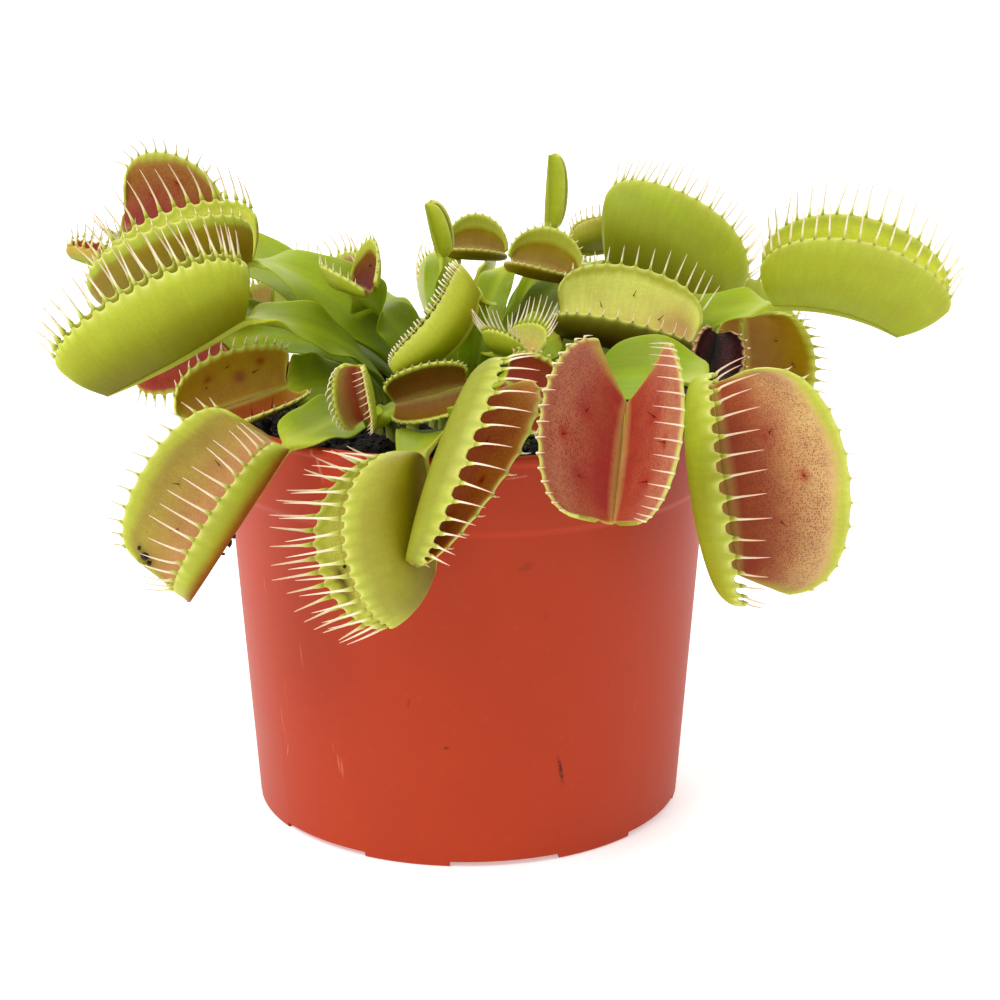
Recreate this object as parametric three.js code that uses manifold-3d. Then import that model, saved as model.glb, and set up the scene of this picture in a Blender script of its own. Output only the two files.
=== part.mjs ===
// A potted Venus flytrap: leaves that end in snap traps, standing in peat in a round plastic
// nursery pot. Millimetres, +Z up, +X to the right, the plant's front towards -Y.
// The origin is the middle of the pot's underside.
import * as THREE from 'three';
import Module from 'manifold-3d';

const wasm = await Module();
wasm.setup();

// ---------------------------------------------------------------- pot and soil
const POT = {
  height: 69.5, baseRadius: 36.4, bandHeight: 57, bandRadius: 40.4, bandStep: 0.6,
  rimRadius: 42.1, lip: 0.5, lipHeight: 1.6, wall: 1.2, floor: 2, segments: 36,
};
const DRAIN = { count: 6, radius: 3, ring: 24 };
const NOTCH = { count: 7, width: 18, depth: 3.4, height: 0.9, first: -79.7 };
const SOIL = { top: 64.5, ripple: 0.9, calm: 21, gap: 0.3 };
const ROOT = { depth: 6, clear: 1.2, radius: 1.8, sides: 6 };

// ---------------------------------------------------------------- leaves
const BLADE = { thick: 0.8, narrow: 1.0, fold: 0.25, wave: 0.14 };
const TRAP = { thick: 0.9, rib: 0.8, bellyRow: 0.5, toothShare: 0.3 };

// What a leaf has unless its own entry says otherwise. Lengths are in millimetres and angles in
// degrees. base and tip are the ends of the trap's midrib, face is the way the trap opens, and
// open is how far each half leans away from face. shoulder and toe are how far the halves reach
// past the two ends of the midrib, corner how high their ends start at the base and at the tip, and
// taper how much lower the halves get towards the tip, as shares of the trap. bulge is the belly of
// a half. A pair in round, taper, bulge, tooth or lean holds the first half's value and the other's.
// cornerFirst is the first half's own corner.
const USUAL = {
  shoulder: 0.12, toe: 0.12, corner: 0.5, round: 0.8, bulge: 0.18, arch: 0, taper: 0,
  teeth: 8, tooth: 6, lean: 35, curl: 20, fan: 0.35, columns: 5,
  blade: 10, roll: 40, rise: 9, reach: 0.4,
};

const LEAVES = [
  { name: 'leaf_left_closed', base: [-35, -19, 86], tip: [-57, -21, 74.5], face: [-0.42, -0.05, 0.9],
    open: [14, 14], width: 14.8, root: [12.5, 196], shoulder: 0.18, toe: 0.16, corner: [0.49, 0.55],
    arch: -0.02, tooth: 6.5, lean: 22 },
  { name: 'leaf_left_half_open', base: [-36, 4, 91.5], tip: [-58.5, 6, 83], face: [-0.32, -0.04, 0.92],
    open: [26, 22], width: 14, root: [8.5, 176], corner: [0.5, 0.4], tooth: [0.9, 5.5], blade: 12 },
  { name: 'leaf_left_back_red', base: [-45.1, 29, 90.1], tip: [-62.2, 32, 92.3], face: [0.1, -0.7, 0.7],
    open: [35, 35], width: 13.5, root: [10, 150], toe: 0, corner: [0.15, 0.5], taper: -0.3, tooth: 4.5,
    fan: 0.9 },
  { name: 'leaf_left_small_tip', base: [-61.5, 16, 88.5], tip: [-68.5, 16, 90.5],
    face: [-0.1, -0.2, 0.95], open: [25, 25], width: 4, root: [14, 163], tooth: 4, blade: 4, teeth: 6,
    columns: 4 },
  { name: 'leaf_left_low_red', base: [-43, 5, 79], tip: [-56, 5, 74.5], face: [-0.2, -0.8, -0.5],
    open: [50, 40], width: 8, root: [15, 180], tooth: 4, blade: 7, rise: 14, teeth: 7, columns: 4 },
  { name: 'leaf_left_brown', base: [-29.3, -14, 73.8], tip: [-43.8, -21.5, 70.3],
    face: [-0.1, -0.8, 0.6], open: [42, 42], width: 9.6, root: [16.5, 208], corner: [0.55, 0.2],
    tooth: [1.4, 2.4], blade: 11 },
  { name: 'leaf_front_left_hanging', base: [-27.3, -38, 70.1], tip: [-42.3, -43, 47.6],
    face: [-0.66, -0.6, 0.45], open: [37, 37], width: 16.5, root: [18, 228], shoulder: 0, toe: -0.04,
    corner: [0.62, 0.58], cornerFirst: [0.12, 0.3], bulge: 0.12, tooth: [8, 3.6], blade: 9.5, rise: 8,
    reach: 0.46, teeth: 9 },
  { name: 'leaf_front_hanging', base: [-6.1, -47, 70.9], tip: [-4.4, -52, 54.9], face: [-1, -0.45, 0.1],
    open: [18, 18], width: 18.5, root: [17, 246], shoulder: 0.06, toe: 0.45, corner: [0.3, 0.5],
    round: 1.15, bulge: 0.17, arch: -0.04, tooth: 8, blade: 9, rise: 2, into: [-0.1, -0.9, -0.05],
    teeth: 9 },
  { name: 'leaf_front_half_open', base: [0.9, -45, 79.2], tip: [-6.9, -59, 58.3],
    face: [0.62, -0.75, 0.1], open: [34, 24], width: 14, root: [17, 282], shoulder: 0.2, toe: 0,
    corner: [0.5, 0.1], cornerFirst: [0.56, 0.05], taper: [0.66, 0.25], bulge: [0.1, 0.2], arch: -0.03,
    tooth: [2.5, 6.2], blade: 7, rise: 3, reach: 0.25, into: [0, -0.5, 0.85], teeth: 9 },
  { name: 'leaf_front_red_heart', base: [24, -50, 79.5], tip: [22, -56, 63.5], face: [0.1, -1, 0.05],
    open: [20, 64], width: 15.5, root: [17.5, 302], shoulder: 0.5, toe: 0, corner: 0.45,
    cornerFirst: [0.6, 0.45], round: [1.3, 0.8], bulge: 0.1, tooth: [4, 2.6], lean: [95, 85], blade: 8,
    rise: 3, reach: 0.25, into: [0.1, -0.5, 0.85], teeth: 9 },
  { name: 'leaf_right_hanging', base: [38.3, -26, 77], tip: [42.3, -33, 48.6], face: [0.62, -0.75, 0],
    open: [36, 44], width: 19.8, root: [17, 318], shoulder: 0.06, toe: 0.15, corner: [0.36, 0.42],
    bulge: [0.1, 0.24], tooth: [2.2, 9], blade: 13, teeth: 11 },
  { name: 'leaf_right_back_brown', base: [48.1, 22, 78.5], tip: [49.1, 22, 62.1],
    face: [0.35, -0.9, 0.1], open: [50, 50], width: 13.5, root: [14.5, 12], shoulder: 0.05, tooth: 4,
    blade: 6, roll: 0, into: [0.42, 0.12, 0.78] },
  { name: 'leaf_right_closed', base: [52.6, 11, 82.7], tip: [73.6, 9, 77.9], face: [0.2, -0.22, 0.95],
    open: [20, 20], width: 16.9, root: [19.8, 34], shoulder: 0.2, toe: 0.3, corner: [0.47, 0.52],
    bulge: 0.13, arch: 0.08, lean: 16, rise: 7, into: [0.95, -0.22, 0.08], teeth: 11 },
  { name: 'leaf_back_green', base: [24.5, 30, 87], tip: [43, 28, 76.5], face: [0.4, 0.2, 0.9],
    open: [15, 15], width: 18.2, root: [10.5, 61], shoulder: 0.28, toe: 0.1, corner: [0.62, 0.35],
    tooth: 5, blade: 6 },
  { name: 'leaf_middle_right', base: [16.3, 5, 79.2], tip: [36.8, 3.5, 74.7], face: [0.08, -0.35, 0.92],
    open: [30, 38], width: 13.8, root: [8, 18], toe: 0.06, tooth: [5, 1.6], lean: [20, 60] },
  { name: 'leaf_middle_narrow', base: [2, -15, 90], tip: [-11, -17, 77], face: [-0.7, -0.2, 0.6],
    open: [10, 10], width: 8, root: [6.5, 262], shoulder: 0.05, toe: 0, corner: [0.6, 0.02],
    taper: 0.25, bulge: 0.26, arch: -0.2, tooth: 3.2, lean: 75, blade: 6, teeth: 6, columns: 4 },
  { name: 'leaf_middle_young', base: [5.5, -16, 80.2], tip: [10.4, -22, 80.5], face: [0, 0, 1],
    open: [38, 38], width: 6.5, root: [7.5, 306], tooth: 4.4, lean: 8, curl: 8, blade: 5, teeth: 7,
    columns: 4 },
  { name: 'leaf_middle_red', base: [6.4, -29, 78.3], tip: [14.7, -32, 74], face: [0.1, -0.95, 0.3],
    open: [55, 50], width: 7.6, root: [12.5, 290], tooth: [2, 3.2], lean: [60, 120], blade: 5, teeth: 8,
    columns: 4 },
  { name: 'leaf_middle_brown', base: [0.4, -22.5, 76.2], tip: [-10.9, -24.5, 73.8],
    face: [0, -0.95, 0.3], open: [40, 45], width: 6.4, root: [12, 252], shoulder: 0.02,
    tooth: [1.4, 2.2], blade: 4, teeth: 8, columns: 4 },
  { name: 'leaf_front_small', base: [-15, -32, 73.5], tip: [-16, -34, 82], face: [-0.2, -0.9, 0.3],
    open: [50, 25], width: 5.5, root: [13.5, 229], tooth: 2.2, blade: 3.4, teeth: 7, columns: 4 },
  { name: 'leaf_middle_left', base: [-19.3, -2, 88], tip: [-15.8, -8, 88.3], face: [0, 0, 1],
    open: [14, 50], width: 9, root: [7, 215], corner: 0.25, round: 1, taper: [0, 0.35], tooth: 1.6,
    blade: 8, teeth: 6, columns: 4 },
  { name: 'leaf_back_small_left', base: [-3.5, 32, 88.6], tip: [6, 31, 88.2], face: [0, -0.3, 0.95],
    open: [15, 55], width: 7.2, root: [7, 104], shoulder: 0.02, toe: 0.02, corner: 0.12, round: 1,
    bulge: 0.2, tooth: [1, 0.6], blade: 6, teeth: 7, columns: 4 },
  { name: 'leaf_back_small_middle', base: [7.8, 19, 88.4], tip: [17.5, 17, 86.5], face: [0, -0.3, 0.95],
    open: [15, 55], width: 8, root: [6, 62], shoulder: 0.02, toe: 0.1, corner: 0.2, round: 1,
    bulge: 0.2, tooth: [1.8, 0.8], fan: 0.9, blade: 6, teeth: 8, columns: 4 },
  { name: 'leaf_back_small_right', base: [20, 45, 86.2], tip: [28.9, 46, 86.8], face: [0.1, 0.1, 0.9],
    open: [18, 18], width: 7, root: [22.7, 75.7], bulge: 0.28, tooth: 2.5, blade: 3.5, rise: 16,
    teeth: 8, columns: 4 },
  { name: 'leaf_bud_upright', base: [14.2, 30, 93.4], tip: [14.5, 30, 106.1], face: [1, -0.3, 0],
    open: [14, 14], width: 3.2, root: [11, 76], shoulder: 0.02, toe: 0, corner: 0.3, bulge: 0.2,
    blade: 3, into: [0.25, 0.3, 1], teeth: 0, columns: 4 },
  { name: 'leaf_bud_left', base: [-4.3, 2, 93.2], tip: [-6.5, 0, 101.8], face: [1, -0.3, 0.2],
    open: [14, 14], width: 3, root: [2.5, 170], shoulder: 0.02, toe: 0, corner: 0.3, bulge: 0.3,
    blade: 6, teeth: 0, columns: 4 },
  { name: 'leaf_right_dead', base: [39.4, -8, 73.5], tip: [41, -6, 81.1], face: [-0.2, -0.95, 0.1],
    open: [20, 65], width: 6.6, root: [18.7, 351], corner: 0.35, tooth: 1.4, blade: 4, rise: 4,
    teeth: 4, columns: 4 },
  { name: 'leaf_rear_left', base: [-23, 40, 79], tip: [-35, 54, 69], face: [-0.3, 0.3, 0.9],
    open: [30, 30], width: 12, root: [12, 122], tooth: 5, teeth: 4, columns: 4 },
  { name: 'leaf_rear_middle', base: [-2, 46, 78], tip: [-4, 66, 66], face: [0, 0.5, 0.8],
    open: [35, 35], width: 12, root: [13, 99], tooth: 5, teeth: 4, columns: 4 },
  { name: 'leaf_rear_right', base: [23, 51, 76], tip: [33, 67, 64], face: [0.2, 0.4, 0.8],
    open: [25, 25], width: 12, root: [15.5, 62], tooth: 5, teeth: 4, columns: 4 },
  { name: 'leaf_rear_far_left', base: [-38, 34, 76], tip: [-55, 42, 64], face: [-0.5, 0.4, 0.6],
    open: [35, 35], width: 12, root: [14.5, 140], tooth: 5, teeth: 4, columns: 4 },
  { name: 'leaf_rear_far_right', base: [40, 36, 76], tip: [56, 46, 64], face: [0.5, 0.5, 0.6],
    open: [20, 20], width: 13, root: [20.7, 52.9], tooth: 5, teeth: 4, columns: 4 },
  { name: 'leaf_rear_hanging', base: [10, 46, 70], tip: [10, 54, 48], face: [0.2, 1, 0.2],
    open: [35, 35], width: 13, root: [18.5, 93], tooth: 5, teeth: 4, columns: 4 },
  { name: 'leaf_rear_left_hanging', base: [-19, 46, 71], tip: [-23, 54, 49], face: [-0.4, 1, 0.2],
    open: [30, 30], width: 13, root: [18, 110], tooth: 5, teeth: 4, columns: 4 },
];

// ---------------------------------------------------------------- colours
const LOOK = {
  pot: { color: 0xb5452f, roughness: 0.45 },
  soil: { color: 0x1c1512, roughness: 0.95 },
  leaf: { color: 0x9dbb3c, roughness: 0.5 },
};

// ---------------------------------------------------------------- helpers
const vec = (a) => new THREE.Vector3(...a);
const rad = THREE.MathUtils.degToRad;
const ease = (x) => THREE.MathUtils.smoothstep(x, 0, 1);
const mix = (p, q, k) => p.clone().lerp(q, k);
const plus = (p, ...steps) => steps.reduce((sum, [v, k]) => sum.addScaledVector(v, k), p.clone());

// A closed solid from corner points and triangles, turned outside out where it was inside out.
function solid(points, faces) {
  let volume = 0;
  for (const [a, b, c] of faces) volume += points[a].dot(points[b].clone().cross(points[c]));
  const turned = volume < 0 ? faces.map(([a, b, c]) => [a, c, b]) : faces;
  return new wasm.Manifold(new wasm.Mesh({
    numProp: 3,
    vertProperties: new Float32Array(points.flatMap((p) => [p.x, p.y, p.z])),
    triVerts: new Uint32Array(turned.flat()),
  }));
}

// The triangles between two rings of points that both start at given indices.
function band(first, second, count) {
  const faces = [];
  for (let i = 0; i < count; i++) {
    const j = (i + 1) % count;
    faces.push([first + i, first + j, second + j], [first + i, second + j, second + i]);
  }
  return faces;
}

// A skin over rings with the same number of points, closed by a fan at each end.
function loft(rings) {
  const count = rings[0].length;
  const faces = [];
  for (let i = 1; i + 1 < count; i++) {
    const last = (rings.length - 1) * count;
    faces.push([0, i + 1, i], [last, last + i, last + i + 1]);
  }
  for (let k = 0; k + 1 < rings.length; k++) faces.push(...band(k * count, (k + 1) * count, count));
  return solid(rings.flat(), faces);
}

// A turned solid: profile points [radius, height] from the axis to the axis. lift moves a point
// up by an amount that depends on its place.
function turned(profile, segments, lift = () => 0) {
  const points = [];
  const faces = [];
  const axis = [[0, 0, profile[0][1]], [0, 0, profile.at(-1)[1]]];
  const rings = profile.slice(1, -1);
  for (const [radius, height] of rings) {
    for (let i = 0; i < segments; i++) {
      const angle = (2 * Math.PI * i) / segments;
      const [x, y] = [radius * Math.cos(angle), radius * Math.sin(angle)];
      points.push(new THREE.Vector3(x, y, height + lift(x, y, height)));
    }
  }
  const [low, high] = [points.length, points.length + 1];
  points.push(vec(axis[0]), vec(axis[1]));
  const last = (rings.length - 1) * segments;
  for (let i = 0; i < segments; i++) {
    const j = (i + 1) % segments;
    faces.push([low, j, i], [high, last + i, last + j]);
  }
  for (let k = 0; k + 1 < rings.length; k++) faces.push(...band(k * segments, (k + 1) * segments, segments));
  return solid(points, faces);
}

// An upright prism with regular sides.
function prism(x, y, radius, bottom, top, sides) {
  const ring = (z) => Array.from({ length: sides }, (_, i) => {
    const angle = (2 * Math.PI * (i + 0.5)) / sides;
    return new THREE.Vector3(x + radius * Math.cos(angle), y + radius * Math.sin(angle), z);
  });
  return loft([ring(bottom), ring(top)]);
}

// An upright block turned by an angle about the pot's axis, its middle at a distance from it.
function block(distance, angle, depth, width, bottom, top) {
  const out = new THREE.Vector3(Math.cos(angle), Math.sin(angle), 0);
  const along = new THREE.Vector3(-out.y, out.x, 0);
  const ring = (z) => [[-1, -1], [1, -1], [1, 1], [-1, 1]].map(([a, b]) => plus(
    new THREE.Vector3(0, 0, z), [out, distance + (a * depth) / 2], [along, (b * width) / 2]));
  return loft([ring(bottom), ring(top)]);
}

function node(name, shape, look) {
  const { vertProperties, triVerts } = shape.getMesh();
  const geometry = new THREE.BufferGeometry();
  geometry.setAttribute('position', new THREE.BufferAttribute(new Float32Array(vertProperties), 3));
  geometry.setIndex(new THREE.BufferAttribute(new Uint32Array(triVerts), 1));
  const mesh = new THREE.Mesh(geometry, new THREE.MeshStandardMaterial({ ...look, metalness: 0 }));
  mesh.name = name;
  return mesh;
}

// ---------------------------------------------------------------- pot
function potInnerRadius(z) {
  const taper = (POT.bandRadius - POT.baseRadius) / POT.bandHeight;
  if (z <= POT.bandHeight) return POT.baseRadius + taper * z - POT.wall;
  const share = (z - POT.bandHeight) / (POT.height - POT.bandHeight);
  const start = POT.bandRadius + POT.bandStep;
  return start + (POT.rimRadius - start) * share - POT.wall;
}

function pot() {
  const { height, baseRadius, bandHeight, bandRadius, bandStep, rimRadius, lip, lipHeight, floor } = POT;
  let shape = turned([
    [0, 0], [baseRadius - 0.5, 0], [baseRadius, 0.5], [bandRadius, bandHeight],
    [bandRadius + bandStep, bandHeight + 0.3], [rimRadius, height - lipHeight],
    [rimRadius + lip, height - lipHeight + 0.5], [rimRadius + lip, height - 0.4], [rimRadius, height],
    [potInnerRadius(height), height], [potInnerRadius(bandHeight + 0.01), bandHeight + 0.6],
    [potInnerRadius(bandHeight), bandHeight - 0.6], [potInnerRadius(floor + 0.8), floor + 0.8],
    [potInnerRadius(floor) - 0.9, floor], [0, floor],
  ], POT.segments);
  for (let i = 0; i < DRAIN.count; i++) {
    const angle = (2 * Math.PI * i) / DRAIN.count;
    const [x, y] = [DRAIN.ring * Math.cos(angle), DRAIN.ring * Math.sin(angle)];
    shape = shape.subtract(prism(x, y, DRAIN.radius, -1, floor + 1, 8));
  }
  for (let i = 0; i < NOTCH.count; i++) {
    const angle = rad(NOTCH.first + (360 * i) / NOTCH.count);
    shape = shape.subtract(block(baseRadius, angle, NOTCH.depth * 2, NOTCH.width, -1, NOTCH.height));
  }
  return shape;
}

// ---------------------------------------------------------------- soil
// The surface has soft rises near the pot's wall and is level where the leaves stand.
function soilRipple(x, y, height) {
  const distance = Math.hypot(x, y);
  if (height < SOIL.top - 1 || distance < SOIL.calm) return 0;
  return SOIL.ripple * Math.sin(0.43 * x + 1.2) * Math.cos(0.37 * y - 0.6);
}

function soil(leaves) {
  const { top, gap } = SOIL;
  const middle = POT.bandHeight;
  let shape = turned([
    [0, POT.floor + gap], [potInnerRadius(POT.floor) - 1.4, POT.floor + gap],
    [potInnerRadius(POT.floor + 1.4) - gap, POT.floor + 1.4], [potInnerRadius(middle - 1) - gap, middle - 1],
    [potInnerRadius(middle + 1) - gap, middle + 1], [potInnerRadius(top) - 2 * gap, top],
    [32, top], [SOIL.calm, top], [0, top],
  ], 24, soilRipple);
  for (const leaf of leaves) {
    const [x, y] = rootPlace(leaf);
    shape = shape.subtract(prism(x, y, ROOT.radius, top - ROOT.depth - 0.4, top + 3, ROOT.sides));
  }
  return shape;
}

// ---------------------------------------------------------------- leaf: shared frame
function rootPlace(leaf) {
  const [radius, angle] = leaf.root;
  return [radius * Math.cos(rad(angle)), radius * Math.sin(rad(angle))];
}

// The trap's own frame: along its midrib, the way it opens, and to one side.
function trapFrame(leaf) {
  const base = vec(leaf.base);
  const along = vec(leaf.tip).sub(base);
  const length = along.length();
  along.normalize();
  const open = vec(leaf.face);
  open.addScaledVector(along, -open.dot(along)).normalize();
  return { base, along, open, side: along.clone().cross(open), length };
}

function ribPoint(leaf, frame, share) {
  const lift = leaf.arch * frame.length * 4 * share * (1 - share);
  return plus(frame.base, [frame.along, frame.length * share], [frame.open, lift]);
}

// ---------------------------------------------------------------- leaf: trap
// A value given as a pair stays as it is, and a single value counts for both.
function ends(value) {
  return Array.isArray(value) ? value : [value, value];
}

function ofHalf(value, half) {
  return ends(value)[half < 0 ? 0 : 1];
}

// The plane of one half of the trap: up its middle, and its outward face.
function halfPlane(leaf, frame, half) {
  const angle = rad(half < 0 ? leaf.open[0] : leaf.open[1]);
  const up = plus(new THREE.Vector3(), [frame.open, Math.cos(angle)], [frame.side, half * Math.sin(angle)]);
  const out = plus(new THREE.Vector3(), [frame.side, half * Math.cos(angle)], [frame.open, -Math.sin(angle)]);
  return { up, out, half };
}

// A point of one half: across runs from the base to the tip, rise from the midrib to the margin.
function halfPoint(leaf, frame, plane, across, rise) {
  const [first, last] = ends(plane.half < 0 && leaf.cornerFirst ? leaf.cornerFirst : leaf.corner);
  const turn = Math.PI * across;
  const share = (1 - Math.cos(turn)) / 2;
  const { length } = frame;
  const reach = length * (-leaf.shoulder + (1 + leaf.toe + leaf.shoulder) * share);
  const swell = Math.sin(THREE.MathUtils.clamp(turn, 1e-6, Math.PI - 1e-6)) ** ofHalf(leaf.round, plane.half);
  const corner = first + (last - first) * share;
  const full = leaf.width * (1 - ofHalf(leaf.taper, plane.half) * share);
  const height = full * (corner + (1 - corner) * swell);
  const x = length * share + (reach - length * share) * (1 - (1 - rise) ** 1.25);
  const dish = Math.sin(Math.PI * rise) * (0.45 + 0.55 * Math.sin(turn));
  const belly = ofHalf(leaf.bulge, plane.half) * leaf.width * dish;
  const lift = leaf.arch * length * 4 * share * (1 - share);
  return plus(frame.base, [frame.along, x], [plane.up, height * rise], [frame.open, lift], [plane.out, belly]);
}

function toothPlaces(leaf, half) {
  return Array.from({ length: leaf.teeth }, (_, k) => 0.05 + (0.9 * (k + 0.5 - half * 0.25)) / leaf.teeth);
}

// The tip of a tooth that leaves the margin leaning and curling towards the other half.
function toothTip(leaf, frame, plane, across) {
  const root = halfPoint(leaf, frame, plane, across, 1);
  const before = halfPoint(leaf, frame, plane, across - 1e-3, 1);
  const step = halfPoint(leaf, frame, plane, across + 1e-3, 1).sub(before);
  const away = step.cross(plane.out).normalize();
  if (away.dot(root.clone().sub(halfPoint(leaf, frame, plane, across, 0.97))) < 0) away.negate();
  away.multiplyScalar(leaf.fan).addScaledVector(plane.up, 1 - leaf.fan).normalize();
  const length = ofHalf(leaf.tooth, plane.half) * (0.62 + 0.38 * Math.sin(Math.PI * across));
  const angle = rad(ofHalf(leaf.lean, plane.half) + leaf.curl * 0.2);
  return plus(root, [away, length * Math.cos(angle)], [plane.out, -length * Math.sin(angle)]);
}

// One half of the trap with its teeth: a thin shell, each tooth drawn out of the margin's edge.
function trapHalf(leaf, frame, half) {
  const plane = halfPlane(leaf, frame, half);
  const columns = Array.from({ length: leaf.columns + 1 }, (_, i) => i / leaf.columns);
  const rootHalf = (TRAP.toothShare * 0.9) / Math.max(leaf.teeth, 1) / 2;
  const teeth = toothPlaces(leaf, half);
  const margin = leaf.teeth ? [0, ...teeth.flatMap((a) => [a - rootHalf, a + rootHalf]), 1] : columns;
  const rows = [[columns, 0], [columns, TRAP.bellyRow], [margin, 1]];
  const points = [];
  const starts = rows.map(([places, rise]) => {
    const start = points.length;
    for (const across of places) {
      const point = halfPoint(leaf, frame, plane, across, rise);
      points.push(plus(point, [plane.out, TRAP.thick / 2]), plus(point, [plane.out, -TRAP.thick / 2]));
    }
    return start;
  });
  const at = (row, i, inner) => starts[row] + 2 * i + inner;
  const faces = [];
  const quad = (a, b, c, d) => faces.push([a, b, c], [a, c, d]);
  for (let row = 0; row + 1 < rows.length; row++) {
    const [lower, upper] = [rows[row][0], rows[row + 1][0]];
    let [i, j] = [0, 0];
    while (i + 1 < lower.length || j + 1 < upper.length) {
      const [next, ahead] = [lower[i + 1] ?? 9, upper[j + 1] ?? 9];
      const corners = (inner) => (next < ahead
        ? [at(row, i, inner), at(row, i + 1, inner), at(row + 1, j, inner)]
        : [at(row, i, inner), at(row + 1, j + 1, inner), at(row + 1, j, inner)]);
      faces.push(corners(0), corners(1).reverse());
      if (next < ahead) i += 1; else j += 1;
    }
    quad(at(row, 0, 1), at(row, 0, 0), at(row + 1, 0, 0), at(row + 1, 0, 1));
    const [m, n] = [lower.length - 1, upper.length - 1];
    quad(at(row, m, 0), at(row, m, 1), at(row + 1, n, 1), at(row + 1, n, 0));
  }
  for (let i = 0; i < leaf.columns; i++) quad(at(0, i, 1), at(0, i + 1, 1), at(0, i + 1, 0), at(0, i, 0));
  for (let j = 0; j + 1 < margin.length; j++) {
    const ring = [at(2, j, 0), at(2, j + 1, 0), at(2, j + 1, 1), at(2, j, 1)];
    if (leaf.teeth && j % 2 === 1) {
      points.push(toothTip(leaf, frame, plane, teeth[(j - 1) / 2]));
      const tip = points.length - 1;
      ring.forEach((corner, k) => faces.push([corner, ring[(k + 1) % 4], tip]));
    } else quad(...ring);
  }
  return solid(points, faces);
}

// ---------------------------------------------------------------- leaf: stalk
// The stalk's middle line: straight up out of the soil, then a curve to the trap's base.
function stalkLine(leaf, frame) {
  const [x, y] = rootPlace(leaf);
  const ground = new THREE.Vector3(x, y, SOIL.top + ROOT.clear);
  const span = frame.base.clone().sub(ground);
  const flat = new THREE.Vector3(span.x, span.y, span.z * 0.3).normalize();
  const into = leaf.into ? vec(leaf.into).normalize() : plus(flat, [frame.along, 0.35]).normalize();
  const above = plus(ground, [new THREE.Vector3(0, 0, 1), leaf.rise]);
  const before = plus(frame.base, [into, -leaf.reach * span.length()]);
  return new THREE.CubicBezierCurve3(ground, above, before, frame.base);
}

// A cross-section of the stalk or midrib: six corners, its two edges lifted by a fold.
function section(place, across, up, halfWidth, thick, fold, wave = 0) {
  return [[-1, 0.5], [-1, -0.5], [0, -0.5], [1, -0.5], [1, 0.5], [0, 0.5]].map(([side, level]) => plus(
    place, [across, side * halfWidth], [up, level * thick + Math.abs(side) * (fold + side * wave)]));
}

function stalkAndRib(leaf, frame, index) {
  const line = stalkLine(leaf, frame);
  const start = line.getPoint(0);
  const ahead = new THREE.Vector3(frame.base.x - start.x, frame.base.y - start.y, 0).normalize();
  const level = ahead.clone().cross(new THREE.Vector3(0, 0, 1));
  const lean = rad(leaf.roll) * -level.y;
  const frameAt = (t) => {
    const tangent = line.getTangent(t);
    const across = plus(level, [tangent, -level.dot(tangent)]).normalize();
    return { across, up: across.clone().cross(tangent) };
  };
  const end = frameAt(1);
  const twist = Math.atan2(frame.side.dot(end.up), frame.side.dot(end.across));
  const rings = [];
  const stub = (z) => section(new THREE.Vector3(start.x, start.y, z), level, ahead.clone().negate(),
    BLADE.narrow, 1.4, 0);
  rings.push(stub(SOIL.top - ROOT.depth), stub(SOIL.top + 0.4));
  for (const t of [0.24, 0.46, 0.66, 0.82, 0.93]) {
    const { across, up } = frameAt(t);
    const near = ease((t - 0.7) / 0.3);
    const angle = -lean * ease(t / 0.5) * (1 - near) + twist * near;
    const turnedAcross = plus(new THREE.Vector3(), [across, Math.cos(angle)], [up, Math.sin(angle)]);
    const turnedUp = plus(new THREE.Vector3(), [up, Math.cos(angle)], [across, -Math.sin(angle)]);
    const swell = ease((t - 0.18) / 0.5) * (1 - ease((t - 0.9) / 0.09));
    const half = BLADE.narrow + (leaf.blade / 2 - BLADE.narrow) * swell;
    const thick = BLADE.thick + 0.5 * (1 - swell);
    rings.push(section(line.getPoint(t), turnedAcross, turnedUp, half, thick,
      half * BLADE.fold * swell, half * BLADE.wave * swell * Math.sin(11 * t + index)));
  }
  for (const share of [0.02, 0.5, 0.98]) {
    rings.push(section(ribPoint(leaf, frame, share), frame.side, frame.open, TRAP.rib, 1.3 - 0.4 * share, 0));
  }
  return loft(rings);
}

function leafSolid(leaf, index) {
  const frame = trapFrame(leaf);
  return stalkAndRib(leaf, frame, index).add(trapHalf(leaf, frame, -1)).add(trapHalf(leaf, frame, 1));
}

// ---------------------------------------------------------------- whole plant
const leaves = LEAVES.map((leaf) => ({ ...USUAL, ...leaf }));
const plant = new THREE.Group();
plant.name = 'potted_venus_flytrap';
plant.add(node('pot', pot(), LOOK.pot), node('soil', soil(leaves), LOOK.soil));
leaves.forEach((leaf, index) => plant.add(node(leaf.name, leafSolid(leaf, index), LOOK.leaf)));

export default plant;
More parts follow.
